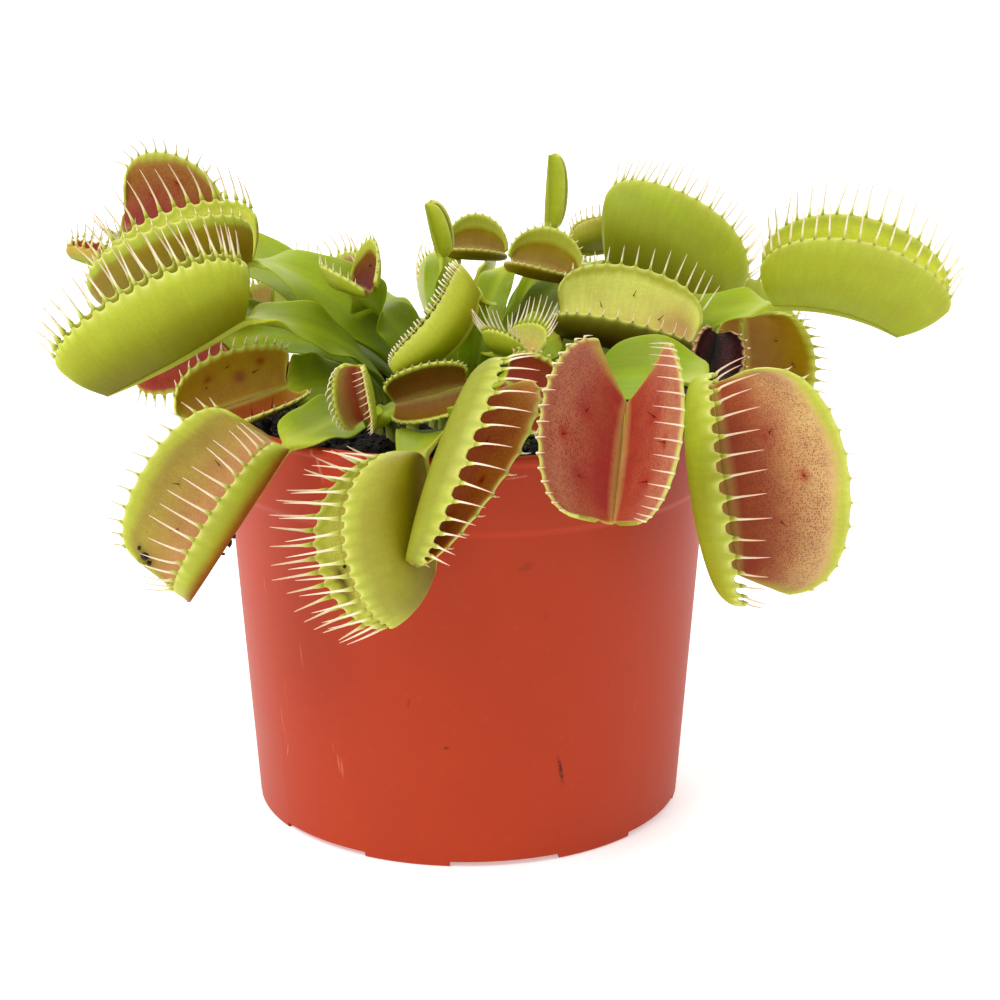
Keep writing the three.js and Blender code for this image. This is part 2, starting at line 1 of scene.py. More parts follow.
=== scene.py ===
"""Potted Venus flytrap: fine leaves with snap traps, a moulded plastic pot and peat.

Lengths in the tables and functions are millimetres; a mesh is written in metres.
"""
import bpy
import numpy as np
from bpy.props import FloatProperty, FloatVectorProperty, IntProperty, PointerProperty
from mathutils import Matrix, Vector


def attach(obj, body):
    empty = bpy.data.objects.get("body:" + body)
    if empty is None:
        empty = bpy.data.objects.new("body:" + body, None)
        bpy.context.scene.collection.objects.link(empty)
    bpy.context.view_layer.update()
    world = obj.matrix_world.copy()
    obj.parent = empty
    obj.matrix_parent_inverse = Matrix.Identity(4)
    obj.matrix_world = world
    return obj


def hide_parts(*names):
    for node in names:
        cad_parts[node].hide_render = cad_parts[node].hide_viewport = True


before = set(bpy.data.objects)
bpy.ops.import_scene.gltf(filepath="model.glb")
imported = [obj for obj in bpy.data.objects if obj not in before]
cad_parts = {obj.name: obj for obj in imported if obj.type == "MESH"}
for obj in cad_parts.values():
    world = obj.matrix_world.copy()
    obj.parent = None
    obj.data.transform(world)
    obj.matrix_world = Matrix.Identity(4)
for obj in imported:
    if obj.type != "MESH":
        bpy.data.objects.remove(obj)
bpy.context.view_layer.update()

bl_info = {
    "name": "Potted Venus flytrap",
    "version": (1, 0, 0),
    "blender": (4, 5, 0),
    "location": "View3D > Sidebar > Flytrap",
    "description": "Builds a potted Venus flytrap with open and closed snap traps",
    "category": "Add Mesh",
}

MM = 0.001
SOIL_TOP = 64.5

# ------------------------------------------------------------------ colours, as sRGB
# Traps.
BUTTER = (0.72, 0.74, 0.33)
SPRING = (0.65, 0.68, 0.25)
OLIVE = (0.64, 0.58, 0.20)
RUST = (0.56, 0.32, 0.15)
ROSE = (0.78, 0.42, 0.32)
BRICK = (0.58, 0.24, 0.19)
IVORY = (0.93, 0.87, 0.76)
BLUSH = (0.90, 0.66, 0.60)
CHAR = (0.05, 0.03, 0.035)
PALE_EDGE = (0.82, 0.82, 0.50)
PALE_FLESH = (0.86, 0.68, 0.44)
INNER_RIB = (0.70, 0.63, 0.36)
WARM_BACK = (0.78, 0.50, 0.34)
FLUSH = (0.60, 0.14, 0.13)
HAIR_RED = (0.36, 0.10, 0.08)
# Stalks: the pale foot, the blade low down and further up, its veins and underside, the midrib.
STALK_FOOT = (0.72, 0.72, 0.44)
BLADE_LOW, BLADE_HIGH = (0.40, 0.49, 0.06), (0.56, 0.62, 0.13)
BLADE_VEIN, BLADE_UNDER = (0.66, 0.71, 0.24), (0.54, 0.64, 0.22)
MIDRIB = (0.62, 0.62, 0.24)
# Pot and peat.
CLAY = (0.7, 0.27, 0.18)
SCRATCH = (0.93, 0.62, 0.5)
PEAT = (0.10, 0.075, 0.06)
PEAT_FLECK, PEAT_DEEP = (0.22, 0.14, 0.09), (0.05, 0.035, 0.03)
CRUMB_DARK, CRUMB_PALE = (0.085, 0.065, 0.055), (0.26, 0.17, 0.11)
FIBRE = (0.24, 0.15, 0.09)
DEAD_LEAF = (0.11, 0.07, 0.06)
DIRT = (0.13, 0.08, 0.06)

# ------------------------------------------------------------------ leaves
# What a leaf has unless its own entry says otherwise. Angles are in degrees, and what is no length,
# angle or count is a share. A pair gives the first and the second half, in corner and swing the two
# ends of the margin.
#   base, tip, width: the ends of the trap's midrib, and the way from there to the margin
#   face, open: the way the trap opens, and how far each half leans away from it
#   root, rise, into, reach: the stalk's distance from the pot's axis and its compass angle, how far
#     it goes straight up, the way it comes to the trap, and how far that way pulls its curve
#   blade, roll: the stalk's width, and its turn about its own line
#   shoulder, toe, corner, round, taper: the margin's run past base and tip, its height at the ends,
#     its fullness, and its loss of height towards the tip; corner_first is corner for the first half
#   bulge, arch, hook: the belly of a half, the lift of the midrib, the margin's turn inwards
#   cilia, tooth, foot, scallop: number and length of the teeth, breadth of their feet, depth of the
#     bays between them
#   lean, curl, fan, swing: how the teeth lean inwards, bend and spread, and their length at the ends
#   inside, pale, rim, stipple: the colour inside, the one nearer the margin, where the rim's colour
#     starts, and how strong the gland dots are
#   outside, low, shade, dull: the colour outside; the one near the midrib, partly the leaf's own
#     olive or brown and partly painted shade on the lower face; where the second turns into the
#     first; and the half (-1, 1 or 0 for none) that keeps the second
#   edge, warm, withered: the rim's own colour, a reddish share outside, a blackened share
USUAL = dict(
    shoulder=0.12, toe=0.12, corner=0.5, round=0.8, bulge=0.18, arch=0, tooth=6, lean=35,
    curl=20, fan=0.35, blade=10, roll=40, rise=9, reach=0.4, cilia=13, inside=OLIVE,
    outside=SPRING, low=(0.52, 0.56, 0.10), shade=(0, 0.85), rim=0.82, scallop=1, taper=0,
    foot=1, stipple=0.5, warm=0.0, edge=None, withered=0, hook=0, swing=(1, 1), dull=0,
)

LEAVES = {
    "leaf_left_closed": dict(
        base=(-35, -19, 86), tip=(-57, -21, 74.5), face=(-0.42, -0.05, 0.9), open=(14, 14), width=14.8,
        root=(12.5, 196), toe=0.16, bulge=0.18, arch=-0.02, lean=22, cilia=18, shoulder=0.18,
        corner=(0.49, 0.55), tooth=6.5, low=(0.46, 0.46, 0.05), shade=(0.05, 0.95), scallop=1.5,
        hook=0.9, inside=(0.6, 0.55, 0.2)),
    "leaf_left_half_open": dict(
        base=(-36, 4, 91.5), tip=(-58.5, 6, 83), face=(-0.32, -0.04, 0.92), open=(26, 22), width=14,
        root=(8.5, 176), blade=12, cilia=16, inside=(0.78, 0.8, 0.36), outside=(0.62, 0.66, 0.24),
        tooth=(1.2, 7.6), low=(0.54, 0.46, 0.13), corner=(0.5, 0.4), shade=(0.78, 0.9),
        pale=(0.8, 0.82, 0.4), scallop=(1, 1.4)),
    "leaf_left_back_red": dict(
        base=(-45.1, 29, 90.1), tip=(-62.2, 32, 92.3), face=(0.1, -0.7, 0.7), open=(35, 35), width=13.5,
        root=(10, 150), cilia=14, inside=(0.56, 0.27, 0.22), stipple=0.7, tooth=4.5, corner=(0.15, 0.5),
        rim=0.84, fan=0.9, toe=0, pale=(0.66, 0.48, 0.28), taper=-0.3, foot=0.5),
    "leaf_left_small_tip": dict(
        base=(-61.5, 16, 88.5), tip=(-68.5, 16, 90.5), face=(-0.1, -0.2, 0.95), open=(25, 25), width=4,
        root=(14, 163), blade=4, tooth=4, cilia=9, inside=BRICK, warm=0.5),
    "leaf_left_low_red": dict(
        base=(-43, 5, 79), tip=(-56, 5, 74.5), face=(-0.2, -0.8, -0.5), open=(50, 40), width=8,
        root=(15, 180), blade=7, rise=14, tooth=4, cilia=11, inside=(0.66, 0.28, 0.24), warm=0.3,
        pale=(0.72, 0.36, 0.30), low=(0.62, 0.34, 0.24)),
    "leaf_left_brown": dict(
        base=(-29.3, -14, 73.8), tip=(-43.8, -21.5, 70.3), face=(-0.1, -0.8, 0.6), open=(42, 42),
        width=9.6, root=(16.5, 208), blade=11, cilia=14, inside=(0.6, 0.47, 0.15), stipple=0.3,
        corner=(0.55, 0.2), tooth=(1.4, 2.4), rim=0.84, pale=(0.64, 0.53, 0.2), low=(0.44, 0.27, 0.09)),
    "leaf_front_left_hanging": dict(
        base=(-27.3, -38, 70.1), tip=(-42.3, -43, 47.6), face=(-0.66, -0.6, 0.45), open=(37, 37),
        width=16.5, root=(18, 228), rise=8, shoulder=0, toe=-0.04, bulge=0.12, tooth=(8, 3.6),
        blade=9.5, cilia=(16, 13), inside=(0.73, 0.53, 0.38), stipple=0.3, corner=(0.62, 0.58), rim=0.8,
        corner_first=(0.12, 0.3), pale=(0.66, 0.6, 0.31), low=(0.5, 0.3, 0.12), shade=(0.45, 0.85),
        reach=0.46, scallop=(1.1, 0.6), hook=(1.4, 0)),
    "leaf_front_hanging": dict(
        base=(-6.1, -47, 70.9), tip=(-4.4, -52, 54.9), face=(-1, -0.45, 0.1), open=(18, 18), width=18.5,
        root=(17, 246), shoulder=0.06, toe=0.45, bulge=0.17, arch=-0.04, tooth=8, blade=9,
        into=(-0.1, -0.9, -0.05), rise=2, cilia=17, inside=(0.80, 0.78, 0.42), corner=(0.3, 0.5),
        pale=(0.78, 0.78, 0.40), low=(0.46, 0.4, 0.06), shade=(0.15, 0.95), outside=(0.64, 0.63, 0.28),
        round=1.15, scallop=1.7, hook=0.6),
    "leaf_front_half_open": dict(
        base=(0.9, -45, 79.2), tip=(-6.9, -59, 58.3), face=(0.62, -0.75, 0.1), open=(34, 24), width=14,
        root=(17, 282), shoulder=0.2, toe=0, bulge=(0.1, 0.2), arch=-0.03, blade=7,
        into=(0, -0.5, 0.85), rise=3, reach=0.25, cilia=(12, 15), inside=(0.62, 0.32, 0.19),
        stipple=0.8, corner=(0.5, 0.1), tooth=(2.5, 6.2), rim=0.9, taper=(0.66, 0.25),
        pale=(0.7, 0.46, 0.24), low=(0.5, 0.5, 0.14), corner_first=(0.56, 0.05),
        outside=(0.56, 0.57, 0.22), scallop=(0.8, 1.35), hook=(0, 1.5), swing=(1.3, 0.7)),
    "leaf_front_red_heart": dict(
        base=(24, -50, 79.5), tip=(22, -56, 63.5), face=(0.1, -1, 0.05), open=(20, 64), width=15.5,
        root=(17.5, 302), shoulder=0.5, toe=0, corner=0.45, bulge=0.1, lean=(95, 85), blade=8,
        into=(0.1, -0.5, 0.85), rise=3, reach=0.25, cilia=16, inside=(0.58, 0.25, 0.2), stipple=1,
        tooth=(4, 2.6), rim=0.93, scallop=(0.35, 1), pale=(0.7, 0.47, 0.37), round=(1.3, 0.8),
        corner_first=(0.6, 0.45), hook=(0, 1), swing=(1.6, 0.75)),
    "leaf_right_hanging": dict(
        base=(38.3, -26, 77), tip=(42.3, -33, 48.6), face=(0.62, -0.75, 0), open=(36, 44), width=19.8,
        root=(17, 318), shoulder=0.06, toe=0.15, corner=(0.36, 0.42), bulge=(0.1, 0.24),
        tooth=(2.2, 10), blade=13, cilia=(13, 16), inside=(0.58, 0.28, 0.18), stipple=1, rim=0.84,
        pale=(0.8, 0.67, 0.48), foot=1, scallop=(0.35, 2.3), hook=(0, 1.7), swing=(1.1, 0.5)),
    "leaf_right_back_brown": dict(
        base=(48.1, 22, 78.5), tip=(49.1, 22, 62.1), face=(0.35, -0.9, 0.1), open=(50, 50), width=13.5,
        root=(14.5, 12), blade=6, rise=9, into=(0.42, 0.12, 0.78), reach=0.4, roll=0, cilia=13,
        inside=(0.54, 0.38, 0.10), tooth=4, pale=(0.60, 0.50, 0.16), stipple=0.25, shoulder=0.05),
    "leaf_right_closed": dict(
        base=(52.6, 11, 82.7), tip=(73.6, 9, 77.9), face=(0.2, -0.22, 0.95), open=(20, 20), width=16.9,
        root=(19.8, 34), rise=7, into=(0.95, -0.22, 0.08), toe=0.3, bulge=0.13, lean=16, cilia=18,
        arch=0.08, shoulder=0.2, corner=(0.47, 0.52), tooth=7, inside=(0.8, 0.82, 0.34),
        pale=(0.82, 0.84, 0.36), stipple=0.1, low=(0.60, 0.66, 0.18), foot=0.5),
    "leaf_back_green": dict(
        base=(24.5, 30, 87), tip=(43, 28, 76.5), face=(0.4, 0.2, 0.9), open=(15, 15), width=18.2,
        root=(10.5, 61), bulge=0.18, cilia=15, corner=(0.62, 0.35), shoulder=0.28, toe=0.1, tooth=6.4,
        outside=(0.6, 0.64, 0.22), low=(0.52, 0.53, 0.17), shade=(0.1, 0.95), foot=0.4, blade=6,
        inside=(0.62, 0.6, 0.22)),
    "leaf_middle_right": dict(
        base=(16.3, 5, 79.2), tip=(36.8, 3.5, 74.7), face=(0.08, -0.35, 0.92), open=(30, 38),
        width=13.8, root=(8, 18), cilia=14, inside=(0.79, 0.77, 0.42), outside=(0.50, 0.46, 0.17),
        stipple=0.1, tooth=(4.5, 1.7), lean=(20, 60), low=(0.36, 0.3, 0.08), pale=(0.84, 0.85, 0.49),
        shade=(0.6, 0.9), foot=0.6, toe=0.06, swing=(0.05, 1.8)),
    "leaf_middle_narrow": dict(
        base=(2, -15, 90), tip=(-11, -17, 77), face=(-0.7, -0.2, 0.6), open=(7, 7), width=8,
        root=(6.5, 262), shoulder=0.05, toe=0, bulge=0.26, blade=6, tooth=3.6, lean=75, cilia=17,
        corner=(0.6, 0.02), low=(0.58, 0.58, 0.14), outside=(0.68, 0.7, 0.26), arch=-0.2, taper=0.25,
        foot=0.45, swing=(1.7, 0.3), hook=0.4, curl=60, stipple=0),
    "leaf_middle_young": dict(
        base=(5.5, -16, 80.2), tip=(10.4, -22, 80.5), face=(0, 0, 1), open=(38, 38), width=6.5,
        root=(7.5, 306), shoulder=0.12, blade=5, tooth=4.4, cilia=12, inside=(0.74, 0.62, 0.36), lean=8,
        curl=8, stipple=0.3, pale=(0.72, 0.72, 0.40), foot=0.5),
    "leaf_middle_red": dict(
        base=(6.4, -29, 78.3), tip=(14.7, -32, 74), face=(0.1, -0.95, 0.3), open=(55, 50), width=7.6,
        root=(12.5, 290), blade=5, tooth=(2, 3.2), cilia=12, inside=(0.5, 0.2, 0.15), stipple=0.8,
        lean=(60, 120), pale=(0.54, 0.27, 0.18)),
    "leaf_middle_brown": dict(
        base=(0.4, -22.5, 76.2), tip=(-10.9, -24.5, 73.8), face=(0, -0.95, 0.3), open=(40, 45),
        width=6.4, root=(12, 252), blade=4, tooth=(0.9, 1.2), cilia=14, inside=(0.46, 0.34, 0.13),
        stipple=0.6, pale=(0.46, 0.34, 0.14), shoulder=0.02, foot=0.5),
    "leaf_front_small": dict(
        base=(-15, -32, 73.5), tip=(-16, -34, 82), face=(-0.2, -0.9, 0.3), open=(42, 22), width=5.5,
        root=(13.5, 229), blade=3.4, tooth=2.2, cilia=13, inside=(0.54, 0.24, 0.18),
        pale=(0.68, 0.58, 0.34), stipple=0.3, scallop=0.4, swing=(0.3, 1.9), rim=0.8),
    "leaf_middle_left": dict(
        base=(-19.3, -2, 88), tip=(-15.8, -8, 88.3), face=(0, 0, 1), open=(14, 50), width=9,
        root=(7, 215), blade=8, tooth=1.6, cilia=10, inside=(0.32, 0.1, 0.08), corner=0.25, round=1,
        taper=(0, 0.35), pale=(0.48, 0.32, 0.14), rim=0.7, foot=0.5),
    "leaf_back_small_left": dict(
        base=(-3.5, 32, 88.6), tip=(6, 31, 88.2), face=(0, -0.3, 0.95), open=(15, 55), width=7.2,
        root=(7, 104), blade=6, tooth=(0.8, 0.4), cilia=12, inside=(0.5, 0.39, 0.1),
        outside=(0.74, 0.77, 0.36), low=(0.5, 0.38, 0.1), shade=(0.15, 0.7), bulge=0.2, corner=0.12,
        round=1, rim=0.55, pale=(0.56, 0.47, 0.14), foot=0.2, shoulder=0.1, toe=0.08, stipple=0, dull=1),
    "leaf_back_small_middle": dict(
        base=(7.8, 19, 88.4), tip=(17.5, 17, 86.5), face=(0, -0.3, 0.95), open=(15, 55), width=8,
        root=(6, 62), blade=6, tooth=(1.4, 0.5), cilia=14, inside=(0.52, 0.41, 0.1),
        outside=(0.74, 0.77, 0.34), low=(0.5, 0.38, 0.1), shade=(0.15, 0.7), bulge=0.2, corner=0.2,
        round=1, rim=0.55, pale=(0.58, 0.49, 0.14), foot=0.25, shoulder=0.12, toe=0.2, fan=0.9,
        stipple=0, dull=1),
    "leaf_back_small_right": dict(
        base=(20, 45, 86.2), tip=(28.9, 46, 86.8), face=(0.1, 0.1, 0.9), open=(18, 18), width=7,
        root=(22.7, 75.7), blade=3.5, tooth=2.5, cilia=13, inside=BRICK, warm=0.2,
        outside=(0.60, 0.64, 0.22), low=(0.50, 0.50, 0.16), bulge=0.28, foot=0.5, rise=16),
    "leaf_bud_upright": dict(
        base=(14.2, 30, 93.4), tip=(14.5, 30, 106.1), face=(1, -0.3, 0), open=(14, 14), width=3.2,
        root=(11, 76), cilia=0, blade=3, bulge=0.2, corner=0.3, inside=SPRING, shoulder=0.02, toe=0,
        into=(0.25, 0.3, 1), reach=0.4),
    "leaf_bud_left": dict(
        base=(-4.3, 2, 93.2), tip=(-6.5, 0, 101.8), face=(1, -0.3, 0.2), open=(14, 14), width=3,
        root=(2.5, 170), cilia=0, blade=6, bulge=0.3, corner=0.3, inside=SPRING, stipple=0,
        shoulder=0.02, toe=0),
    "leaf_right_dead": dict(
        base=(39.4, -8, 73.5), tip=(41, -6, 81.1), face=(-0.2, -0.95, 0.1), open=(20, 65), width=6.6,
        root=(18.7, 351), blade=4, rise=4, tooth=1.4, cilia=9, corner=0.35, inside=(0.10, 0.06, 0.06),
        pale=(0.12, 0.07, 0.07), outside=(0.50, 0.26, 0.16), low=(0.30, 0.16, 0.12), rim=0.86,
        edge=(0.56, 0.28, 0.22), withered=0.9),
}
# The leaves behind, which are alike: name, base, tip, face, open, width, root and inside.
REAR_LEAVES = [
    ("left", (-23, 40, 79), (-35, 54, 69), (-0.3, 0.3, 0.9), 30, 12, (12, 122), RUST),
    ("middle", (-2, 46, 78), (-4, 66, 66), (0, 0.5, 0.8), 35, 12, (13, 99), (0.56, 0.25, 0.19)),
    ("right", (23, 51, 76), (33, 67, 64), (0.2, 0.4, 0.8), 25, 12, (15.5, 62), RUST),
    ("far_left", (-38, 34, 76), (-55, 42, 64), (-0.5, 0.4, 0.6), 35, 12, (14.5, 140), OLIVE),
    ("far_right", (40, 36, 76), (56, 46, 64), (0.5, 0.5, 0.6), 20, 13, (20.7, 52.9), RUST),
    ("hanging", (10, 46, 70), (10, 54, 48), (0.2, 1, 0.2), 35, 13, (18.5, 93), BRICK),
    ("left_hanging", (-19, 46, 71), (-23, 54, 49), (-0.4, 1, 0.2), 30, 13, (18, 110), ROSE),
]
LEAVES.update({
    f"leaf_rear_{rear}": dict(
        tooth=5, cilia=12, base=base, tip=tip, face=face, open=(lean, lean), width=width, root=root,
        inside=inside)
    for rear, base, tip, face, lean, width, root, inside in REAR_LEAVES})

# Single spots on the inside of a trap: half, place along and up it, radius, colour.
BLOTS = {
    "leaf_middle_right": [
        (-1, 0.78, 0.4, 3.6, (0.70, 0.56, 0.36)), (-1, 0.5, 0.04, 3, (0.62, 0.40, 0.24))],
    "leaf_front_hanging": [
        (1, 0.7, 0.9, 1.5, (0.26, 0.18, 0.08)), (1, 0.64, 0.84, 1.0, (0.20, 0.12, 0.06))],
    "leaf_left_brown": [
        (-1, 0.5, 0.5, 8, (0.52, 0.26, 0.17)), (1, 0.3, 0.62, 0.6, (0.52, 0.24, 0.12)),
        (1, 0.44, 0.42, 0.7, (0.52, 0.24, 0.12)), (1, 0.62, 0.58, 0.5, (0.52, 0.24, 0.12))],
    "leaf_middle_young": [(1, 0.5, 0.35, 2.2, (0.66, 0.44, 0.32))],
    "leaf_front_half_open": [
        (-1, 0.75, 0.4, 4.0, (0.40, 0.24, 0.08)), (1, 0.75, 0.4, 4.0, (0.42, 0.26, 0.08))],
}
# Peat stuck to a trap: half, share of the way along and up it, size and stand-off in mm.
STUCK = {
    "leaf_front_left_hanging": [
        (1, 0.86, 0.68, 0.8, -0.7), (1, 0.89, 0.62, 0.5, -0.6), (1, 0.83, 0.75, 0.4, -0.6),
        (-1, 0.56, 0.26, 0.75, 0.5), (-1, 0.53, 0.32, 0.45, 0.5), (-1, 0.61, 0.22, 0.4, 0.5)],
    "leaf_middle_left": [(1, 0.3, 0.5, 0.4, -0.4), (1, 0.4, 0.7, 0.35, -0.4), (-1, 0.5, 0.5, 0.4, -0.4)],
    "leaf_front_hanging": [(1, 0.6, 0.75, 0.4, -0.6), (1, 0.63, 0.7, 0.25, -0.5)],
}
# Feet of the trigger hairs: shares of the way along a half and up it.
HAIRS = np.array([(0.36, 0.42), (0.64, 0.42), (0.5, 0.62)])
HAIR_STATIONS, HAIR_SIDES = 5, 5
SMALLEST_WITH_HAIRS = 9.5

TRAP_THICK = 0.9
SMALL_TRAP = 9
TOOTH_START, TOOTH_SPAN = 0.05, 0.9
TOOTH_STATIONS = np.array([0, 0.05, 0.12, 0.22, 0.38, 0.58, 0.8, 1])
TOOTH_SIDES = 6
STALK_THICK = 0.8
STALK_NARROW = 1.0
FOOT_STATIONS, STALK_STATIONS, RIB_STATIONS, STALK_SIDES = 4, 60, 22, 36


# ------------------------------------------------------------------ small helpers
def unit(vectors):
    """Vectors divided by their own length."""
    length = np.linalg.norm(vectors, axis=-1, keepdims=True)
    return vectors / np.maximum(length, 1e-9)


def ease(x):
    """A smooth step from 0 to 1: three x squared less two x cubed."""
    x = np.clip(x, 0, 1)
    return x * x * (3 - 2 * x)


def blend(first, second, share):
    """A straight mix of two colours or points by a share that may be an array."""
    share = np.asarray(share)[..., None]
    return np.asarray(first) * (1 - share) + np.asarray(second) * share


def linear(colour):
    """sRGB turned into linear light by the usual 2.4 power with its straight toe."""
    colour = np.asarray(colour, float)
    return np.where(colour <= 0.04045, colour / 12.92, ((colour + 0.055) / 1.055) ** 2.4)


class Shape:
    """Points and faces of one piece as they are gathered.

    Each point carries tint, its colour; grain, the place that its material's patterns read; and
    mark, how strong the gland dots are there.
    """

    def __init__(self):
        self.points, self.faces, self.tints, self.grains, self.marks = [], [], [], [], []
        self.count = 0

    def add(self, points, faces, tint, grain=None, mark=0.0):
        """Adds one closed skin; it is turned outside out where its volume comes out negative."""
        points = np.asarray(points, float).reshape(-1, 3)
        faces = np.asarray(faces, int)
        a, b, c = (points[faces[:, k]] for k in (0, 1, 2))
        d = points[faces[:, -1]]
        centre = points.mean(0)
        volume = np.einsum("ij,ij->", a - centre, np.cross(b - centre, c - centre))
        volume += np.einsum("ij,ij->", a - centre, np.cross(c - centre, d - centre))
        if volume < 0:
            faces = faces[:, ::-1]
        self.points.append(points)
        self.faces.append(faces + self.count)
        self.tints.append(np.broadcast_to(tint, points.shape).reshape(-1, 3))
        self.grains.append(points if grain is None else np.asarray(grain, float).reshape(-1, 3))
        self.marks.append(np.broadcast_to(mark, len(points)).reshape(-1))
        self.count += len(points)

    def build(self, name):
        """One mesh object: quads and triangles, smooth, with tint, grain and mark at its points."""
        mesh = bpy.data.meshes.new(name)
        points = np.concatenate(self.points) * MM
        sizes = np.concatenate([np.full(len(f), f.shape[1]) for f in self.faces])
        corners = np.concatenate([f.ravel() for f in self.faces])
        mesh.vertices.add(len(points))
        mesh.vertices.foreach_set("co", points.ravel().astype(np.float32))
        mesh.loops.add(len(corners))
        mesh.loops.foreach_set("vertex_index", corners.astype(np.int32))
        mesh.polygons.add(len(sizes))
        mesh.polygons.foreach_set("loop_start", (np.cumsum(sizes) - sizes).astype(np.int32))
        mesh.polygons.foreach_set("use_smooth", np.ones(len(sizes), bool))
        colours = np.ones((len(points), 4))
        colours[:, :3] = linear(np.clip(np.concatenate(self.tints), 0, 1))
        for label, kind, field, values in (
                ("tint", "FLOAT_COLOR", "color", colours),
                ("grain", "FLOAT_VECTOR", "vector", np.concatenate(self.grains)),
                ("mark", "FLOAT", "value", np.concatenate(self.marks))):
            layer = mesh.attributes.new(label, kind, "POINT")
            layer.data.foreach_set(field, values.astype(np.float32).ravel())
        mesh.update(calc_edges=True)
        mesh.validate()
        piece = bpy.data.objects.new(name, mesh)
        bpy.context.scene.collection.objects.link(piece)
        return piece


def grid_faces(rows, columns, closed=False):
    """Quads between neighbours of a grid; closed joins the last column to the first."""
    i = np.arange(rows - 1)[:, None]
    j = np.arange(columns if closed else columns - 1)[None]
    k = (j + 1) % columns
    low, high = i * columns, (i + 1) * columns
    return np.stack([low + j, high + j, high + k, low + k], -1).reshape(-1, 4)


def shell_faces(rows, columns):
    """A grid and its twin behind it, joined along all four borders into one closed skin."""
    front = grid_faces(rows, columns)
    back = front[:, ::-1] + rows * columns
    border = np.concatenate([
        np.arange(columns), np.arange(1, rows) * columns + columns - 1,
        (rows - 1) * columns + np.arange(columns - 2, -1, -1), np.arange(rows - 2, 0, -1) * columns])
    ahead = np.roll(border, -1)
    wall = np.stack([border, ahead, ahead + rows * columns, border + rows * columns], -1)
    return np.concatenate([front, back, wall])


def loft_faces(stations, sides):
    """Triangles of a tube of rings, closed by fans to the two points that follow its rings."""
    quads = grid_faces(stations, sides, closed=True)
    j = np.arange(sides)
    k = (j + 1) % sides
    first_end, last_ring = stations * sides, (stations - 1) * sides
    return np.concatenate([
        quads[:, [0, 1, 2]], quads[:, [0, 2, 3]],
        np.stack([np.full(sides, first_end), j, k], -1),
        np.stack([np.full(sides, first_end + 1), last_ring + k, last_ring + j], -1)])


def skin(rings):
    """A loft over rings (stations, sides, 3) closed by a fan to the middle of each end ring."""
    middles = rings[[0, -1]].mean(1)
    return np.concatenate([rings.reshape(-1, 3), middles]), loft_faces(*rings.shape[:2])


def spikes(paths, across, up, half_width, half_thick, sides):
    """Many slender closed spikes at once.

    Each path (count, stations, 3) carries an ellipse of the two half sizes (stations), spanned by
    its own across and up; both ends close in a point at the ellipse's middle.
    """
    count, stations, _ = paths.shape
    turn = 2 * np.pi * np.arange(sides) / sides
    ring = (np.cos(turn)[None, None, :, None] * half_width[..., None, None] * across[:, :, None]
            + np.sin(turn)[None, None, :, None] * half_thick[..., None, None] * up[:, :, None])
    body = (paths[:, :, None] + ring).reshape(count, stations * sides, 3)
    points = np.concatenate([body, paths[:, :1], paths[:, -1:]], 1)
    offset = (np.arange(count) * points.shape[1])[:, None, None]
    return points.reshape(-1, 3), (loft_faces(stations, sides) + offset).reshape(-1, 3)


# ------------------------------------------------------------------ leaf: frame and stalk
def trap_frame(leaf):
    """The trap's base, length, and its directions: along the midrib, the way it opens, one side."""
    base, tip = np.array(leaf["base"], float), np.array(leaf["tip"], float)
    length = np.linalg.norm(tip - base)
    along = (tip - base) / length
    face = np.array(leaf["face"], float)
    opening = unit(face - along * (face @ along))
    return dict(base=base, along=along, open=opening, side=np.cross(along, opening), length=length)


def rib_points(leaf, fr, share):
    """The midrib: a straight line plus an arch of four s(1 - s) towards the opening."""
    share = np.asarray(share, float)[..., None]
    lift = leaf["arch"] * fr["length"] * 4 * share * (1 - share)
    return fr["base"] + fr["along"] * fr["length"] * share + fr["open"] * lift


def stalk_line(leaf, fr, t):
    """Points and tangents of a cubic curve from the soil, first straight up, to the trap's base."""
    radius, angle = leaf["root"][0], np.radians(leaf["root"][1])
    ground = np.array([radius * np.cos(angle), radius * np.sin(angle), SOIL_TOP + 1.2])
    span = fr["base"] - ground
    flat = unit(span * (1, 1, 0.3))
    into = unit(np.array(leaf["into"], float)) if "into" in leaf else unit(flat + 0.35 * fr["along"])
    above = ground + (0, 0, leaf["rise"])
    before = fr["base"] - into * leaf["reach"] * np.linalg.norm(span)
    t = t[:, None]
    u = 1 - t
    points = u**3 * ground + 3 * u * u * t * above + 3 * u * t * t * before + t**3 * fr["base"]
    tangents = u * u * (above - ground) + 2 * u * t * (before - above) + t * t * (fr["base"] - before)
    return points, unit(tangents)


def smooth_rows(rows, passes):
    """Rows averaged with their neighbours a number of times, with the two ends held."""
    for _ in range(passes):
        rows = np.concatenate([rows[:1], (rows[:-2] + 2 * rows[1:-1] + rows[2:]) / 4, rows[-1:]])
    return rows


